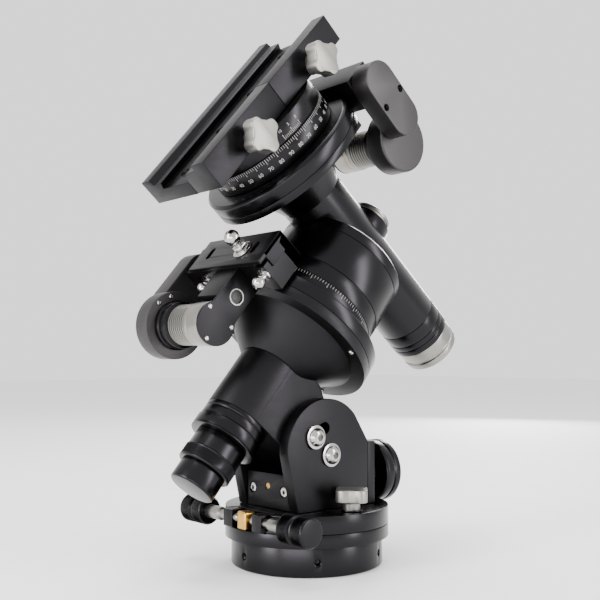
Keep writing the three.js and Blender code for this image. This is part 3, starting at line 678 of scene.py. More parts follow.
def build_adjusters():
    black, steel, knob = finish("black", "steel", "knob")
    for side, turn in (("near", ALONG_MINUS_Y), ("far", ALONG_Y)):
        node_name = f"azimuth_screw_{side}"
        low, high = span(node_name)
        end = max(abs(low.y), abs(high.y))
        tip = min(abs(low.y), abs(high.y))
        k, r = end - 32, 13.0
        aim = shifted(WORLD, PEG_X, 0, SCREW_Z) @ turn
        shaft = lathe("shaft", [(1.4, tip), (2.8, tip + 2), (4, tip + 4), (4, k - 20.5),
                                (6, k - 19.5), (6, k + 1)], aim, finish("silver"), 48)
        body = lathe("body", [(5, k), (r - 1.5, k), (r - 0.6, k + 1), (r - 0.6, k + 13),
                              (r - 3, k + 14), (r - 3, k + 17), (r - 0.6, k + 18),
                              (r - 0.6, end - 1.2), (r - 1.8, end)], aim, black, 96)
        bright = lathe("bright", [(r - 2.9, k + 14.3), (r - 2.7, k + 15.5), (r - 2.9, k + 16.7)],
                       aim, finish("silver"), 96)
        bands = [knurl("band", r - 0.62, a, b, aim, black, 90, 0.55) for a, b in
                 ((k + 1.4, k + 12.6), (k + 18.4, end - 1.6))]
        put(merged(f"Azimuth screw {side}", [body, shaft, bright, *bands]), node_name, BLACK,
            node_name)
    low, high = span("azimuth_lock_knob")
    aim = shifted(WORLD, 0, (low.y + high.y) / 2, low.z)
    lock = star_knob("Azimuth lock knob", (high.x - low.x) / 2, 7.5, 8, high.z - low.z - 8, aim,
                     knob)
    put(lock, "azimuth_lock", SILVER, "azimuth_lock_knob")
    put(lathe("Lock washer", [(9.6, 0.0), (9.6, 1.4)], aim, black, 64), "azimuth_lock", BLACK)
    low, high = span("altitude_knob")
    r, face, end = high.y, 77.0, high.x
    aim = shifted(WORLD, z=(low.z + high.z) / 2) @ ALONG_X
    shape = [(6, low.x), (6, 60), (14, 61), (14, face), (r - 1.5, face), (r, face + 2),
             (r, face + 9.2), (r - 1.4, face + 10), (r - 1.4, face + 11.2), (r, face + 12),
             (r, end - 3), (r - 3, end)]
    wheel = lathe("Altitude knob", shape, aim, black)
    rim = knurl("rim", r - 0.25, face + 2.6, face + 8.6, aim, black, 140, 0.22)
    put(merged("Altitude knob", [wheel, rim]), "altitude_knob", BLACK, "altitude_knob")
    for part in ("pivot", "slot"):
        for side, turn in (("near", ALONG_MINUS_Y), ("far", ALONG_Y)):
            low, high = span(f"{part}_screw_{side}")
            aim = shifted(WORLD, (low.x + high.x) / 2, 0, (low.z + high.z) / 2) @ turn
            seat = max(abs(low.y), abs(high.y)) - 7
            stud = lathe("stud", [(5, 17), (5, seat), (10.4, seat), (10.4, seat + 1.9)], aim, steel,
                         64, 0.35)
            head = socket_screw("head", 8.3, 5.1, 3.5, aim @ shifted(WORLD, z=seat + 1.9), steel,
                                True)
            put(merged(f"{part.title()} screw {side}", [stud, head]), "altitude_head", "steel",
                f"{part}_screw_{side}")


# ---- polar housing and finder
WHEEL_CASE_R = span("polar_wheel_cover", POLAR)[1].y


def wheel_cover(name, node_name, place, worm_x, worm_z, chamfer):
    """Upper wheel case with a window for the worm."""
    low, high = span(node_name, place)
    r = high.y
    shape = [(r, low.z), (r, high.z - chamfer), (r - chamfer, high.z), (30, high.z),
             (30, high.z - 4), (r - CASE_WALL, high.z - 4), (r - CASE_WALL, low.z)]
    cover = lathe(name, shape, place, finish("black"), closed=True)
    window = drill(WINDOW_R, -WINDOW_Y, WINDOW_Y, across(place, worm_x, worm_z))
    return carve(cover, [window])


def build_polar_housing():
    black, brushed = finish("black", "brushed")
    low, high = span("polar_housing", POLAR)
    case, top = -34.9, high.z  # lower and upper face of the wheel case
    pivot = POLAR.inverted() @ (PIVOT * MM) / MM
    turn = arc(pivot.x, pivot.z, 22.4, -90, 62, 24)
    web = prism("Polar housing", [(0, low.z), *turn, (36, case - 22), (0, case - 16)], -BARREL_R,
                BARREL_R, POLAR, brushed, 0.5)
    barrel = rod("barrel", BARREL_R, low.z, -58, POLAR, brushed, 128)
    flare = [(30.7, -67), (41.5, -56.4), (53, -45.2), (60, -38.6), (65, case), (WHEEL_CASE_R, case),
             (WHEEL_CASE_R, top)]
    cone = lathe("cone", flare, POLAR, black)
    housing = carve(web, [barrel, cone], "UNION")
    cuts = [drill(HOUSING_BORE_R, low.z - 1, case + 4, POLAR, 96),
            drill(WHEEL_CASE_R - CASE_WALL, case + 3, top + 1, POLAR, 128),
            drill(WINDOW_R, -WINDOW_Y, WINDOW_Y, across(POLAR_DRIVE, WORM_X))]
    for point in (PIVOT, Vector(span("slot_screw_near")[0] + span("slot_screw_near")[1]) / 2):
        aim = across(WORLD, point.x, point.z)
        cuts += [drill(STUD_HOLE_R, 16, 31, aim, 40), drill(STUD_HOLE_R, -31, -16, aim, 40)]
    put(carve(housing, cuts), "altitude_head", BLACK, "polar_housing")
    worm = POLAR.inverted() @ POLAR_DRIVE.translation / MM
    cover = wheel_cover("Polar wheel cover", "polar_wheel_cover", POLAR, -WORM_X, worm.z, 1.2)
    put(cover, "altitude_head", BLACK, "polar_wheel_cover")
    flip = Matrix.Rotation(math.pi, 4, "X")
    screw = pan_screw("Rim screw", 2.6, shifted(WORLD, WHEEL_CASE_R - 5.4, 0, case) @ flip,
                      finish("steel"))
    put(ring_of(screw, POLAR, 4, finish("steel"), 12), "altitude_head", "steel")


def build_finder():
    black = finish("black")
    low, high = span("finder_sleeve", POLAR)
    r = high.y
    shape = [(r - 1, high.z), (r - 1, -128.6), (r - 1.7, -129.1), (r - 1.7, -129.8),
             (r - 1, -130.3), (r - 1, -137), (r - 1.7, -137.4), (r - 1.7, -138.2), (r, -138.6),
             (r, -147.4), (r - 0.8, -147.8), (r - 0.8, -148.3), (r, -148.6), (r, low.z),
             (12.4, low.z), (12.4, high.z)]
    put(lathe("Finder sleeve", shape, POLAR, black, 128, 0.3, True), "altitude_head", BLACK,
        "finder_sleeve")
    low, high = span("finder_ring", POLAR)
    shape = [(23.4, low.z), (24.6, low.z + 1.2), (24.6, low.z + 1.8), (24.1, low.z + 2.2),
             (24.1, low.z + 11.4), (24.6, low.z + 11.8), (24.6, low.z + 12.4), (23.6, low.z + 13),
             (23.6, -150), (12, -150), (12, high.z), (9.5, high.z)]
    body = lathe("body", shape, POLAR, black, 128, 0.25)
    grips = knurl("grip", 24.1, low.z + 2.3, low.z + 11.3, POLAR, black, 120, 0.4)
    put(merged("Finder focus ring", [body, grips]), "finder_ring", BLACK, "finder_ring")
    low, high = span("finder_cap", POLAR)
    cap = lathe("Finder cap", [(19.4, low.z), (20.6, low.z + 1.2), (20.6, high.z)], POLAR, black,
                128)
    put(cap, "finder_cap", BLACK, "finder_cap")


# ---- worm drives
HEAD_Y = 44  # where the near end of the polar block steps down


def stadium(z0, z1, r, steps=20):
    """Outline with round ends over the worm axis."""
    return arc(WORM_X, z1, r, 0, 180, steps) + arc(WORM_X, z0, r, 180, 360, steps)


def helix(name, r, depth, pitch, y0, y1, place, mat):
    """Ridge winding round Z between two stations."""
    bm = bmesh.new()
    steps = int((y1 - y0) / pitch * 24)
    rows = []
    for i in range(steps + 1):
        a = 2 * math.pi * i / 24
        z = y0 + (y1 - y0) * i / steps
        spot = [(r - depth, z - pitch * 0.36), (r, z - pitch * 0.1), (r, z + pitch * 0.1),
                (r - depth, z + pitch * 0.36)]
        rows.append([bm.verts.new((q * math.cos(a), q * math.sin(a), h)) for q, h in spot])
    for a, b in zip(rows, rows[1:]):
        for k in range(4):
            bm.faces.new((a[k], a[(k + 1) % 4], b[(k + 1) % 4], b[k]))
    bm.faces.new(rows[0])
    bm.faces.new(rows[-1])
    return finish_mesh(name, bm, place, mat)


def toothed_end(end, tail, aim, mat):
    """Toothed pulley at the low end of a shaft, which goes on as the tail says."""
    rim = [(3, end), (3, end + 2), (PULLEY_R, end + 2), (PULLEY_R, end + 12), (4, end + 12)]
    shaft = lathe("shaft", [*rim, *tail], aim, mat, 64)
    tooth = block("tooth", (11.5, -0.9, end + 2.2), (13, 0.9, end + 11.8), WORLD, mat, 0.15)
    return [shaft, ring_of(tooth, aim, 26, mat)]


def face_screws(name, r, reach, angles, drive, y, z, mat):
    """Small screws round the centre line of a drive piece, on its end face at y."""
    made = []
    for a in (math.radians(angle) for angle in angles):
        spot = shifted(drive, WORM_X + reach * math.cos(a), y, z + reach * math.sin(a))
        made.append(pan_screw(name, r, spot @ ALONG_Y, mat))
    return made


def build_drive(prefix, drive, body):
    black, blasted, steel = finish("black", "blasted", "steel")
    brushed, silver = finish("brushed", "silver")
    title = prefix.title()
    low, high = span(f"{prefix}_worm_block", drive)
    top = (span(f"{prefix}_wheel_cover", drive)[1].z) + 0.3
    shell = block(f"{title} worm block", (66, low.y, low.z), (high.x, high.y, high.z), drive,
                  brushed, 0.7)
    cuts = [drill(WHEEL_CASE_R + 0.3, low.z - 1, top, drive, 128),
            drill(WINDOW_R, low.y - 1, HEAD_Y - 1, across(drive, WORM_X))]
    if prefix == "polar":
        cuts += [block("step", *nose, drive, black, 0.0) for nose in (
            ((WORM_X + 4, HEAD_Y, -5.3), (high.x + 1, high.y + 1, high.z + 1)),
            ((high.x - 4, HEAD_Y, low.z - 1), (high.x + 1, high.y + 1, -4.3)),
            ((60, HEAD_Y, 13), (high.x + 1, high.y + 1, high.z + 1)))]
    put(carve(shell, cuts), body, BLACK, f"{prefix}_worm_block")
    if prefix == "polar":
        flip = Matrix.Rotation(math.pi, 4, "X")
        stud = [(6.4, 0.0), (6.4, 1.6), (3.4, 1.9), (3.4, 4.6), *arc(0, 9.6, 5.7, -53, 84, 16)]
        seats = [shifted(drive, WORM_X + 3, y, low.z - 0.05) @ flip for y in (-34, 47)]
        heads = [lathe("stud", stud, seat, steel, 64, 0.1) for seat in seats]
    else:
        heads = [socket_screw("screw", 3.4, 1.2, 1.6, shifted(drive, high.x, y, z) @ ALONG_X, steel)
                 for y in (-52, 46) for z in (low.z + 7, high.z - 7)]
    put(merged(f"{title} block screws", heads), body, "steel")

    low, high = span(f"{prefix}_worm", drive)
    aim = across(drive, WORM_X)
    end = low.y
    tail = [(4, -24), (6.2, -22), (6.2, 22), (4, 24), (4, high.y)]
    shaft, teeth = toothed_end(end, tail, aim, steel)
    thread = helix("thread", 8.0, 2.2, 2.5, -20, 20, aim, steel)
    put(merged(f"{title} worm", [shaft, thread, teeth]), f"{prefix}_worm", "steel",
        f"{prefix}_worm")
    low, high = span(f"{prefix}_drive_pulley", drive)
    aim = across(drive, WORM_X, (low.z + high.z) / 2)
    pulley = toothed_end(end, [(4, high.y)], aim, finish("brass"))
    put(merged(f"{title} drive pulley", pulley), f"{prefix}_pulley", "brass",
        f"{prefix}_drive_pulley")

    low, high = span(f"{prefix}_transfer_case", drive)
    r = (high.x - low.x) / 2
    z0, z1 = low.z + r, high.z - r
    # The transfer case takes the blasted grey: painted light on all its faces, over real blasted
    # roughness.
    case = prism(f"{title} transfer case", stadium(z0, z1, r), low.y, high.y, drive, blasted, 0.9)
    hollow = punch(stadium(z0, z1, r - 3), low.y + 3, high.y + 1, drive)
    cuts, heads = [hollow], []
    for x in (-1, 1):
        aim = shifted(drive, WORM_X + x * (r - 4.6), low.y, (z0 + z1) / 2) @ ALONG_MINUS_Y
        cuts.append(drill(3.4, -7, 1, aim, 32))
        heads.append(rod("floor", 3.6, -8, -6.8, aim, black, 32, 0.0))
        heads.append(socket_screw("Case screw", 2.7, 3, 1.4, aim @ shifted(WORLD, z=-6.8), steel))
    back = prism("back", stadium(z0, z1, r - 2.8), high.y - 1.6, high.y - 0.2, drive, black, 0.0)
    back = carve(back, [drill(4.5, high.y - 3, high.y + 1, across(drive, WORM_X, z), 40)
                        for z in (0, z0)])
    carve(case, cuts)
    put(carve(case, [back], "UNION"), body, BLACK, f"{prefix}_transfer_case")
    put(merged(f"{title} case screws", heads), body, "steel")

    low, high = span(f"{prefix}_gearhead", drive)
    drum_z = (low.z + high.z) / 2
    r = (high.x - low.x) / 2
    aim = across(drive, WORM_X, drum_z)
    shape = [(r - 2, low.y), (r - 0.6, low.y + 0.8), (r, low.y + 2.2), (r, high.y)]
    # The gearhead also takes the blasted grey, painted lighter as if lit.
    put(lathe(f"{title} gearhead", shape, aim, blasted, 128), body, BLACK, f"{prefix}_gearhead")
    facing = face_screws("Gearhead screw", 2.2, 26, (38, 8), drive, high.y, drum_z, steel)
    put(merged(f"{title} gearhead screws", facing), body, "steel")

    low, high = span(f"{prefix}_motor", drive)
    a, b = low.y, high.y
    boss = lathe("boss", [(22, a), (22, a + 4), (20.5, a + 4.6), (20.5, a + 12.6), (17, a + 14),
                          (16.6, a + 14), (16.6, a + 39)], aim, black, 96)
    rib = lathe("rib", [(16.4, 0.0), (18, 0.3), (18, 1.7), (16.4, 2.0)], WORLD, silver, 96, 0.1,
                True)
    first = aim @ Matrix.Translation((0, 0, (a + 14.6) * MM))
    ribs = repeated(rib, first, 8, (0, 0, 3.05 * MM), silver, turned=False)
    can = lathe("can", [(16.6, a + 38), (18.2, a + 39.2), (18.8, a + 39.4), (18.8, a + 43),
                        (18.3, a + 43.2), (18.3, a + 44), (19, a + 44.4), (19, b)], aim, silver,
                128, 0.3)
    gasket = lathe("gasket", [(18.1, a + 43.1), (18.7, a + 43.3), (18.7, a + 43.9),
                              (18.1, a + 44.1)], aim, finish("bronze"), 96, 0.05, True)
    put(merged(f"{title} motor", [can, boss, ribs, gasket]), body, SILVER, f"{prefix}_motor")
    build_motor_cover(prefix, title, drive, body, drum_z)


def build_motor_cover(prefix, title, drive, body, motor_z):
    matt, steel, plastic = finish("matt", "steel", "plastic")
    low, high = span(f"{prefix}_motor_cover", drive)
    x0, x1 = WORM_X - 14, WORM_X + 14
    neck = motor_z + 19.8
    round_end = arc(WORM_X, motor_z, 19, 140, 400, 40)
    outline = [(x1, high.z), (x0, high.z), (x0, neck + 4), *round_end, (x1, neck + 4)]
    plate = prism("plate", outline, 20.3, high.y, drive, matt, 0.35)
    back = block("back", (x0, low.y, neck), (x1, 20.4, high.z), drive, matt, 0.6)
    cover = carve(plate, [back], "UNION")
    seat_z = motor_z + 31
    aim = shifted(drive, WORM_X - 1, high.y, seat_z) @ ALONG_Y
    cuts = [drill(7.0, -9, 1, aim)]
    put(carve(cover, cuts), body, BLACK, f"{prefix}_motor_cover")
    ring = lathe("ring", [(7.4, -0.5), (7.4, 0.15), (6.2, 0.15), (6.2, -6.5), (6.9, -6.5),
                          (6.9, -0.5)], aim, finish("silver"), 64, 0.12, True)
    disc = rod("disc", 6.1, -6.4, -1.6, aim, plastic, 48, 0.2)
    pins = ring_of(rod("pin", 0.75, -1.8, -1.35, shifted(WORLD, 3.6), plastic, 20, 0.05), aim, 7,
                   steel, 40, 38)
    put(merged(f"{title} motor socket", [ring, disc, pins]), body, SILVER)
    heads = face_screws("Cover screw", 2.3, 15.6, (25, 150, 268), drive, high.y, motor_z, steel)
    put(merged(f"{title} cover screws", heads), body, "steel")


def build_bracket():
    brushed, steel = finish("brushed", "steel")
    low, high = span("polar_bracket", POLAR_DRIVE)
    x0 = high.x - 4
    plate = block("Drive bracket", (x0, low.y, low.z), high, POLAR_DRIVE, brushed, 0.6)
    flange = block("flange", (low.x, low.y, high.z - 3.7), high, POLAR_DRIVE, brushed, 0.6)
    cuts = []
    for y in (-30, 35):
        hull = arc(0, 8, 3, 0, 180, 10) + arc(0, 0, 3, 180, 360, 10)
        aim = shifted(POLAR_DRIVE, 0, y, 1) @ SIDEWAYS
        cuts.append(punch(hull, x0 - 1, x0 + 5, aim))
    head = block("head", (WORM_X + 4.3, HEAD_Y + 0.3, -5), high, POLAR_DRIVE, brushed, 0.6)
    hook = block("hook", (low.x, HEAD_Y + 0.3, 13.3), high, POLAR_DRIVE, brushed, 0.6)
    put(carve(carve(plate, [flange, head, hook], "UNION"), cuts, bevel=0.2), "altitude_head", BLACK,
        "polar_bracket")
    low, high = span("polar_ball_stud", POLAR_DRIVE)
    aim = shifted(POLAR_DRIVE, 0, (low.y + high.y) / 2, (low.z + high.z) / 2) @ ALONG_X
    x = low.x
    nut = prism("nut", hexagon(6.9), x + 1, x + 6, aim @ UP, steel, 0.5)
    foot = lathe("foot", [(9.4, x), (9.4, x + 1.2), (7.4, x + 2)], aim, steel, 64, 0.3)
    ball = lathe("ball", [(3.2, x + 5.5), (3.2, x + 9), *arc(0, x + 15, 7, -58, 74, 18),
                          (2.4, x + 21.2)], aim, steel, 64, 0.1)
    put(merged("Ball stud", [foot, nut, ball]), "altitude_head", "steel", "polar_ball_stud")


# ---- polar rotor and saddle housing
CROSS = (POLAR.inverted() @ SADDLE.translation / MM).z


def grooved(r, z0, z1, stations):
    """Straight wall with small witness grooves."""
    d = size("groove")
    pts = [(r, z0)]
    for z in stations:
        pts += [(r, z - 0.5), (r - d, z - 0.35), (r - d, z + 0.35), (r, z + 0.5)]
    return [*pts, (r, z1)]


def build_polar_rotor():
    black = finish("black")
    low, high = span("polar_rotor", POLAR)
    r = high.y
    wall = grooved(r, 5.6, high.z - 3, (20.6, 58.2))
    drum = lathe("Polar rotor", [(50, low.z), (50, 5.6), *wall, (r - 3, high.z)], POLAR, black,
                 ease=0.35)
    cuts = [drill(31.5, -100, 100, shifted(POLAR, z=CROSS) @ ALONG_X, 160),
            drill(SHAFT_HOLE_R, low.z - 1, 46.3, POLAR, 96)]
    put(carve(drum, cuts), "polar_rotor", BLACK, "polar_rotor")
    low, high = span("polar_circle", POLAR)
    shape = [(r, low.z), (r, high.z), (50.4, high.z), (50.4, low.z)]
    ring = lathe("Polar setting circle", shape, POLAR, black, closed=True)
    put(ring, "polar_circle", BLACK, "polar_circle")
    paint = finish("paint")
    marks = [ticks("fine", r, high.z - 3.2, high.z - 0.5, POLAR, paint, 144, 0, 2.5),
             ticks("long", r, high.z - 5.2, high.z - 0.5, POLAR, paint, 24, 0, 15, 0.4),
             numbers("hours", [str(i) for i in range(24)], r, 4.0, low.z + 4.6, POLAR, paint, 0,
                     15)]
    put(merged("Polar graduations", marks), "polar_circle", SILVER)


def build_saddle_housing():
    black, silver = finish("black", "silver")
    low, high = span("saddle_housing", SADDLE)
    wall = grooved(31.2, low.z, 70, (-122.6, -116.2, -102.4))
    flare = [(34.6, 78), (39.4, 88), (45.6, 99.5), (50, 107)]
    tube = lathe("Saddle housing", [*wall, *flare, (WHEEL_CASE_R, 107), (WHEEL_CASE_R, high.z)],
                 SADDLE, black, ease=0.35)
    boss_x = 33.6
    boss = rod("boss", 24, 10, boss_x, SADDLE @ ALONG_X, black, 96)
    tube = carve(tube, [boss], "UNION")
    cuts = [drill(HOUSING_BORE_R, low.z - 1, 111, SADDLE, 96),
            drill(WHEEL_CASE_R - CASE_WALL, 110, high.z + 1, SADDLE, 128),
            drill(8.4, 0, boss_x + 1, SADDLE @ ALONG_X),
            drill(WINDOW_R, -WINDOW_Y, WINDOW_Y, across(SADDLE_DRIVE, WORM_X))]
    put(carve(tube, cuts), "polar_rotor", BLACK, "saddle_housing")
    worm = SADDLE.inverted() @ SADDLE_DRIVE.translation / MM
    cover = wheel_cover("Saddle wheel cover", "saddle_wheel_cover", SADDLE, WORM_X, worm.z, 2.6)
    put(cover, "polar_rotor", BLACK, "saddle_wheel_cover")
    low, high = span("polar_clutch_knob", SADDLE)
    x0, x1, b = low.x, high.x, boss_x
    shape = [(8, x0), (8, b + 0.3), (19.8, b + 0.3), (21, b + 1.5), (21, b + 3), (20, b + 3.4),
             (20, b + 4.6), (21, b + 5), (21, x1 - 1.5), (19.5, x1)]
    knob = lathe("Polar clutch knob", shape, SADDLE @ ALONG_X, silver, 96, 0.4)
    put(knob, "polar_clutch", SILVER, "polar_clutch_knob")
    low, high = span("saddle_clutch_knob", SADDLE)
    a, r = low.z, 29.8
    shape = [(r - 3, a), (r - 0.6, a + 2.2), (r, a + 4), (r, a + 9), (r - 1.6, a + 9.8),
             (r - 1.6, a + 12.2), (r, a + 13), (r, high.z - 1), (r - 0.6, high.z)]
    cap = lathe("Saddle clutch knob", shape, SADDLE, silver, 128, 0.5)
    put(cap, "saddle_clutch", SILVER, "saddle_clutch_knob")


# ---- saddle
def build_circle():
    black, paint = finish("black", "paint")
    low, high = span("saddle_circle", SADDLE)
    r = high.y
    shape = [(r, low.z), (r, high.z), (45.4, high.z), (45.4, low.z)]
    ring = lathe("Saddle setting circle", shape, SADDLE, black, closed=True)
    put(ring, "saddle_circle", BLACK, "saddle_circle")
    ninety = 242.0  # where one of the two 90 degree marks stands
    labels = [str(90 - abs(90 - (10 * i) % 180)) for i in range(36)]
    zero = ninety - 90
    marks = [ticks("fine", r, high.z - 3.4, high.z - 0.3, SADDLE, paint, 180, zero, 2),
             ticks("long", r, high.z - 5.4, high.z - 0.3, SADDLE, paint, 36, zero, 10, 0.42),
             numbers("degrees", labels, r, 4.8, low.z + 6.2, SADDLE, paint, zero, 10)]
    put(merged("Saddle graduations", marks), "saddle_circle", SILVER)
    low, high = span("saddle_rotor", SADDLE)
    top = high.z
    r = 62.4
    rotor = lathe("Saddle rotor", [(45, low.z), (45, 146.7), (r, 146.7), (r, top)], SADDLE, black)
    bore = drill(SHAFT_HOLE_R, low.z - 1, top - 2.7, SADDLE, 96)
    put(carve(rotor, [bore]), "saddle", BLACK, "saddle_rotor")
    marks = [ticks("vernier", r, 148.0, 151.0, SADDLE, paint, 13, 245, 1.5),
             ticks("index", r, 148.0, 152.8, SADDLE, paint, 3, 245, 9, 0.42),
             numbers("index", ["10", "5", "0"], r, 3.6, 155.4, SADDLE, paint, 245, 9)]
    put(merged("Vernier graduations", marks), "saddle", SILVER)


def build_saddle():
    brushed, knob, steel = finish("brushed", "knob", "steel")
    low, high = span("saddle_plate", SADDLE)
    top, floor = high.z, high.z - 11
    fixed, part = high.y, low.y
    edge = [(fixed, low.z), (fixed, top), (fixed - 11.6, top), (fixed - 13.4, top - 4.8),
            (20, top - 4.8), (22.6, floor), (part, floor), (part, low.z)]
    plate = prism("Saddle plate", [(-y, z) for y, z in edge], low.x, high.x, SADDLE @ SIDEWAYS,
                  brushed, 0.5)
    screw_z = low.z + 7.9
    stations = (-51.5, 51.5)
    cuts = [drill(SCREW_HOLE_R, part - 1, part + 16, across(SADDLE, x, screw_z), 40)
            for x in stations]
    heads = []
    for x in (-84, -28, 24, 80):
        aim = shifted(SADDLE, x, 8, floor)
        cuts.append(drill(4.6, -6, 1, aim, 40))
        heads.append(socket_screw("Floor screw", 4.2, 4.5, 2.1, aim @ shifted(WORLD, z=-5.8),
                                  steel))
    put(carve(plate, cuts, bevel=0.2), "saddle", BLACK, "saddle_plate")
    put(merged("Saddle floor screws", heads), "saddle", "steel")
    for name, x in (("low", stations[0]), ("high", stations[1])):
        low, high = span(f"jaw_{name}", SADDLE)
        y, out, lift = high.y, low.y, high.z
        edge = [(y, low.z), (y, floor), (y - 3.9, floor + 7.6), (y - 17.5, top - 1.7),
                (y - 18.5, lift), (out, lift), (out, low.z)]
        jaw = prism(f"Jaw {name}", [(-a, z) for a, z in edge], low.x, high.x, SADDLE @ SIDEWAYS,
                    brushed, 0.6)
        hole = drill(SCREW_HOLE_R, out - 1, y + 1, across(SADDLE, x, screw_z), 40)
        put(carve(jaw, [hole]), f"jaw_{name}", BLACK, f"jaw_{name}")
        low, high = span(f"jaw_knob_{name}", SADDLE)
        aim = shifted(SADDLE, x, out - 0.3, screw_z) @ ALONG_MINUS_Y
        star = star_knob("star", 16.5, 7.5, 8, 13, aim, knob)
        stem = rod("stem", 4, -(high.y - out) + 0.3, 1, aim, steel, 40)
        put(merged(f"Jaw knob {name}", [star, stem]), f"jaw_knob_{name}", SILVER,
            f"jaw_knob_{name}")


def build_inside():
    """Shafts, bearings and worm wheels."""
    bronze, steel = finish("bronze", "steel")
    for prefix, place, body in (("polar", POLAR, "polar_rotor"), ("saddle", SADDLE, "saddle")):
        low, high = span(f"{prefix}_wheel", place)
        r = high.y
        shape = [(r - 2, low.z), (r - 2, high.z), (15.3, high.z), (15.3, low.z)]
        blank = lathe("blank", shape, place, bronze, closed=True)
        tooth = block("tooth", (r - 2.4, -0.72, low.z + 0.4), (r, 0.72, high.z - 0.4), WORLD,
                      bronze, 0.2)
        teeth = ring_of(tooth, place, 180, bronze)
        put(merged(f"{prefix.title()} worm wheel", [blank, teeth]), body, "bronze",
            f"{prefix}_wheel")
        low, high = span(f"{prefix}_bearing", place)
        rings = [lathe("race", [(a, low.z), (a, high.z), (b, high.z), (b, low.z)], place, steel, 96,
                       0.3, True) for a, b in ((19.6, 18.4), (16.6, 15.4))]
        mid = (low.z + high.z) / 2
        ball = lathe("ball", arc(0, 0, 1.9, -90, 90, 12)[1:-1], shifted(WORLD, 17.5, 0, mid), steel,
                     20, 0.0)
        rings.append(ring_of(ball, place, 20, steel))
        host = "altitude_head" if prefix == "polar" else "polar_rotor"
        put(merged(f"{prefix.title()} bearing", rings), host, "steel", f"{prefix}_bearing")
    low, high = span("polar_shaft", POLAR)
    shape = [(15, low.z), (15, high.z), (12.4, high.z), (12.4, low.z)]
    put(lathe("Polar shaft", shape, POLAR, steel, 96, closed=True), "polar_rotor", "steel",
        "polar_shaft")
    low, high = span("saddle_shaft", SADDLE)
    shaft = rod("Saddle shaft", 15, low.z, high.z, SADDLE, steel, 96)
    put(shaft, "saddle", "steel", "saddle_shaft")


# ---- studio
def area_light(name, extent, power, spot, aim):
    light = bpy.data.lights.new(name, "AREA")
    light.shape = "RECTANGLE"
    light.size, light.size_y = extent
    light.energy = power
    obj = added(name, light)
    obj.location = spot
    obj.rotation_euler = (Vector(aim) - Vector(spot)).to_track_quat("-Z", "Y").to_euler()


FLOOR_Z = -0.0002  # just under the pier face
WORLD_STRENGTH = 1.55
LIGHTS = (  # name, size, power, place
    ("Key", (0.5, 1.5), 42, (-1.6, 0.15, 0.55)),
    ("Side", (0.4, 1.5), 30, (0.75, -1.6, 0.5)),
    ("Low", (1.0, 0.4), 13, (-1.1, -0.75, 0.06)),
    ("Top", (1.3, 0.8), 28, (-0.1, 0.1, 1.9)),
    ("Rim", (0.3, 1.3), 20, (1.5, 0.9, 0.8)),
)
CAMERA_LENS = 53.6
CAMERA_TURN = math.radians(-40.51)
CAMERA_TILT = math.radians(-3.62)
CAMERA_DISTANCE = 0.8375
TARGET_Z = 0.23993
TARGET_LEFT = 0.0062


def build_stage():
    scene = bpy.context.scene
    half = scene.mount_sizes.floor
    mat = material("Studio backdrop, pale", scene.mount_colours.backdrop, 0.0, 0.7)
    bm = bmesh.new()
    corners = [bm.verts.new((x * half, y * half, FLOOR_Z)) for x,
               y in ((-1, -1), (1, -1), (1, 1), (-1, 1))]
    bm.faces.new(corners)
    mesh = bpy.data.meshes.new("Floor")
    bm.to_mesh(mesh)
    bm.free()
    mesh.materials.append(mat)
    floor = added("Floor", mesh)
    world = bpy.data.worlds.new("Studio")
    scene.world = world
    world.use_nodes = True
    background = world.node_tree.nodes["Background"]
    background.inputs["Color"].default_value = (1.0, 1.0, 1.0, 1.0)
    background.inputs["Strength"].default_value = WORLD_STRENGTH
    low, high = (Vector(c) for c in CAD_BOX)
    aim = (low + high) / 2
    for name, extent, power, spot in LIGHTS:
        area_light(name, extent, power, spot, aim)

    turn, tilt = CAMERA_TURN, CAMERA_TILT
    right = Vector((math.cos(turn), math.sin(turn), 0.0))
    back = Vector((math.sin(turn) * math.cos(tilt), -math.cos(turn) * math.cos(tilt),
                   math.sin(tilt)))
    camera = bpy.data.cameras.new("Camera")
    camera.lens = CAMERA_LENS
    obj = added("Camera", camera)
    target = Vector((0.0, 0.0, TARGET_Z)) - right * TARGET_LEFT
    obj.location = target + back * CAMERA_DISTANCE
    obj.rotation_euler = back.to_track_quat("Z", "Y").to_euler()
    scene.camera = obj


# ---- operators
class MOUNT_OT_base(bpy.types.Operator):
    """Build the pier adapter, azimuth base, peg and pivot bolt"""

    bl_idname = "mount.base"
    bl_label = "Base"

    def execute(self, context):
        build_base()
        return {"FINISHED"}


class MOUNT_OT_table(bpy.types.Operator):
    """Build the azimuth plate, cheeks and cross pieces"""

    bl_idname = "mount.table"
    bl_label = "Azimuth Table"

    def execute(self, context):
        build_table()
        return {"FINISHED"}


class MOUNT_OT_adjusters(bpy.types.Operator):
    """Build the azimuth screws, lock knob, altitude knob and clamp screws"""

    bl_idname = "mount.adjusters"
    bl_label = "Adjusters"

    def execute(self, context):
        build_adjusters()
        return {"FINISHED"}


class MOUNT_OT_polar_housing(bpy.types.Operator):
    """Build the polar housing and its wheel cover"""

    bl_idname = "mount.polar_housing"
    bl_label = "Polar Housing"

    def execute(self, context):
        build_polar_housing()
        return {"FINISHED"}


class MOUNT_OT_finder(bpy.types.Operator):
    """Build the polar finder sleeve, focus ring and cap"""

    bl_idname = "mount.finder"
    bl_label = "Polar Finder"

    def execute(self, context):
        build_finder()
        return {"FINISHED"}


class MOUNT_OT_polar_drive(bpy.types.Operator):
    """Build the worm block, motor and bracket of the polar axis"""

    bl_idname = "mount.polar_drive"
    bl_label = "Polar Drive"

    def execute(self, context):
        build_drive("polar", POLAR_DRIVE, "altitude_head")
        build_bracket()
        return {"FINISHED"}


class MOUNT_OT_polar_rotor(bpy.types.Operator):
    """Build the polar rotor and its setting circle"""

    bl_idname = "mount.polar_rotor"
    bl_label = "Polar Rotor"

    def execute(self, context):
        build_polar_rotor()
        return {"FINISHED"}


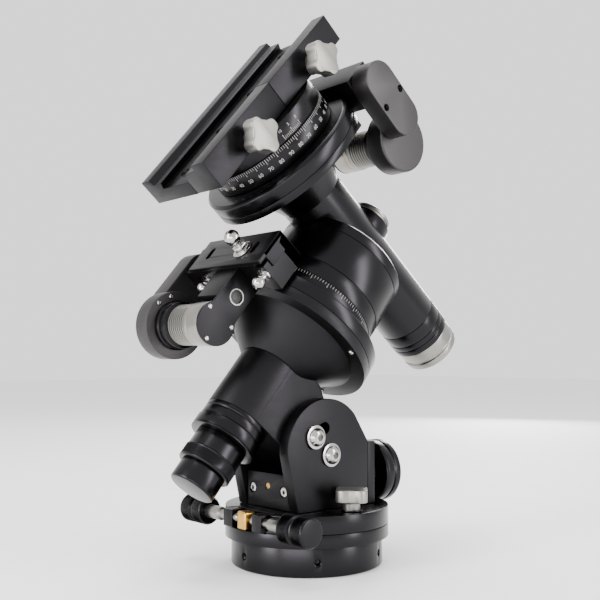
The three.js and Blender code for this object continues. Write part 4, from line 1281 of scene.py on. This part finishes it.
class MOUNT_OT_saddle_housing(bpy.types.Operator):
    """Build the saddle-axis housing, its wheel cover and both clutch knobs"""

    bl_idname = "mount.saddle_housing"
    bl_label = "Saddle Housing"

    def execute(self, context):
        build_saddle_housing()
        return {"FINISHED"}


class MOUNT_OT_saddle_drive(bpy.types.Operator):
    """Build the worm block and motor of the saddle axis"""

    bl_idname = "mount.saddle_drive"
    bl_label = "Saddle Drive"

    def execute(self, context):
        build_drive("saddle", SADDLE_DRIVE, "polar_rotor")
        return {"FINISHED"}


class MOUNT_OT_circle(bpy.types.Operator):
    """Build the saddle setting circle and vernier rotor"""

    bl_idname = "mount.circle"
    bl_label = "Setting Circle"

    def execute(self, context):
        build_circle()
        return {"FINISHED"}


class MOUNT_OT_saddle(bpy.types.Operator):
    """Build the saddle plate, jaws and jaw knobs"""

    bl_idname = "mount.saddle"
    bl_label = "Saddle"

    def execute(self, context):
        build_saddle()
        return {"FINISHED"}


class MOUNT_OT_inside(bpy.types.Operator):
    """Build the shafts, bearings and worm wheels"""

    bl_idname = "mount.inside"
    bl_label = "Inner Pieces"

    def execute(self, context):
        build_inside()
        return {"FINISHED"}


class MOUNT_OT_stage(bpy.types.Operator):
    """Build the floor, lights and camera"""

    bl_idname = "mount.stage"
    bl_label = "Studio"

    def execute(self, context):
        build_stage()
        return {"FINISHED"}


OPERATORS = (
    MOUNT_OT_base,
    MOUNT_OT_table,
    MOUNT_OT_adjusters,
    MOUNT_OT_polar_housing,
    MOUNT_OT_finder,
    MOUNT_OT_polar_drive,
    MOUNT_OT_polar_rotor,
    MOUNT_OT_saddle_housing,
    MOUNT_OT_saddle_drive,
    MOUNT_OT_circle,
    MOUNT_OT_saddle,
    MOUNT_OT_inside,
    MOUNT_OT_stage,
)


class MOUNT_PT_panel(bpy.types.Panel):
    """Sizes, colours and build buttons"""

    bl_label = "Telescope Mount Head"
    bl_idname = "MOUNT_PT_panel"
    bl_space_type = "VIEW_3D"
    bl_region_type = "UI"
    bl_category = "Mount"

    def draw(self, context):
        for group in (context.scene.mount_sizes, context.scene.mount_colours):
            for key in group.bl_rna.properties.keys():
                if key not in ("rna_type", "name"):
                    self.layout.prop(group, key)
        for operator in OPERATORS:
            self.layout.operator(operator.bl_idname)


CLASSES = (MountSizes, MountColours, *OPERATORS, MOUNT_PT_panel)


def register():
    for made in CLASSES:
        bpy.utils.register_class(made)
    bpy.types.Scene.mount_sizes = bpy.props.PointerProperty(type=MountSizes)
    bpy.types.Scene.mount_colours = bpy.props.PointerProperty(type=MountColours)


def unregister():
    del bpy.types.Scene.mount_sizes
    del bpy.types.Scene.mount_colours
    for made in reversed(CLASSES):
        bpy.utils.unregister_class(made)


def main():
    register()
    for operator in OPERATORS:
        group, name = operator.bl_idname.split(".")
        if getattr(getattr(bpy.ops, group), name)() != {"FINISHED"}:
            raise RuntimeError(f"{operator.bl_label} did not finish")
    bpy.context.view_layer.update()


if __name__ == "__main__":
    main()
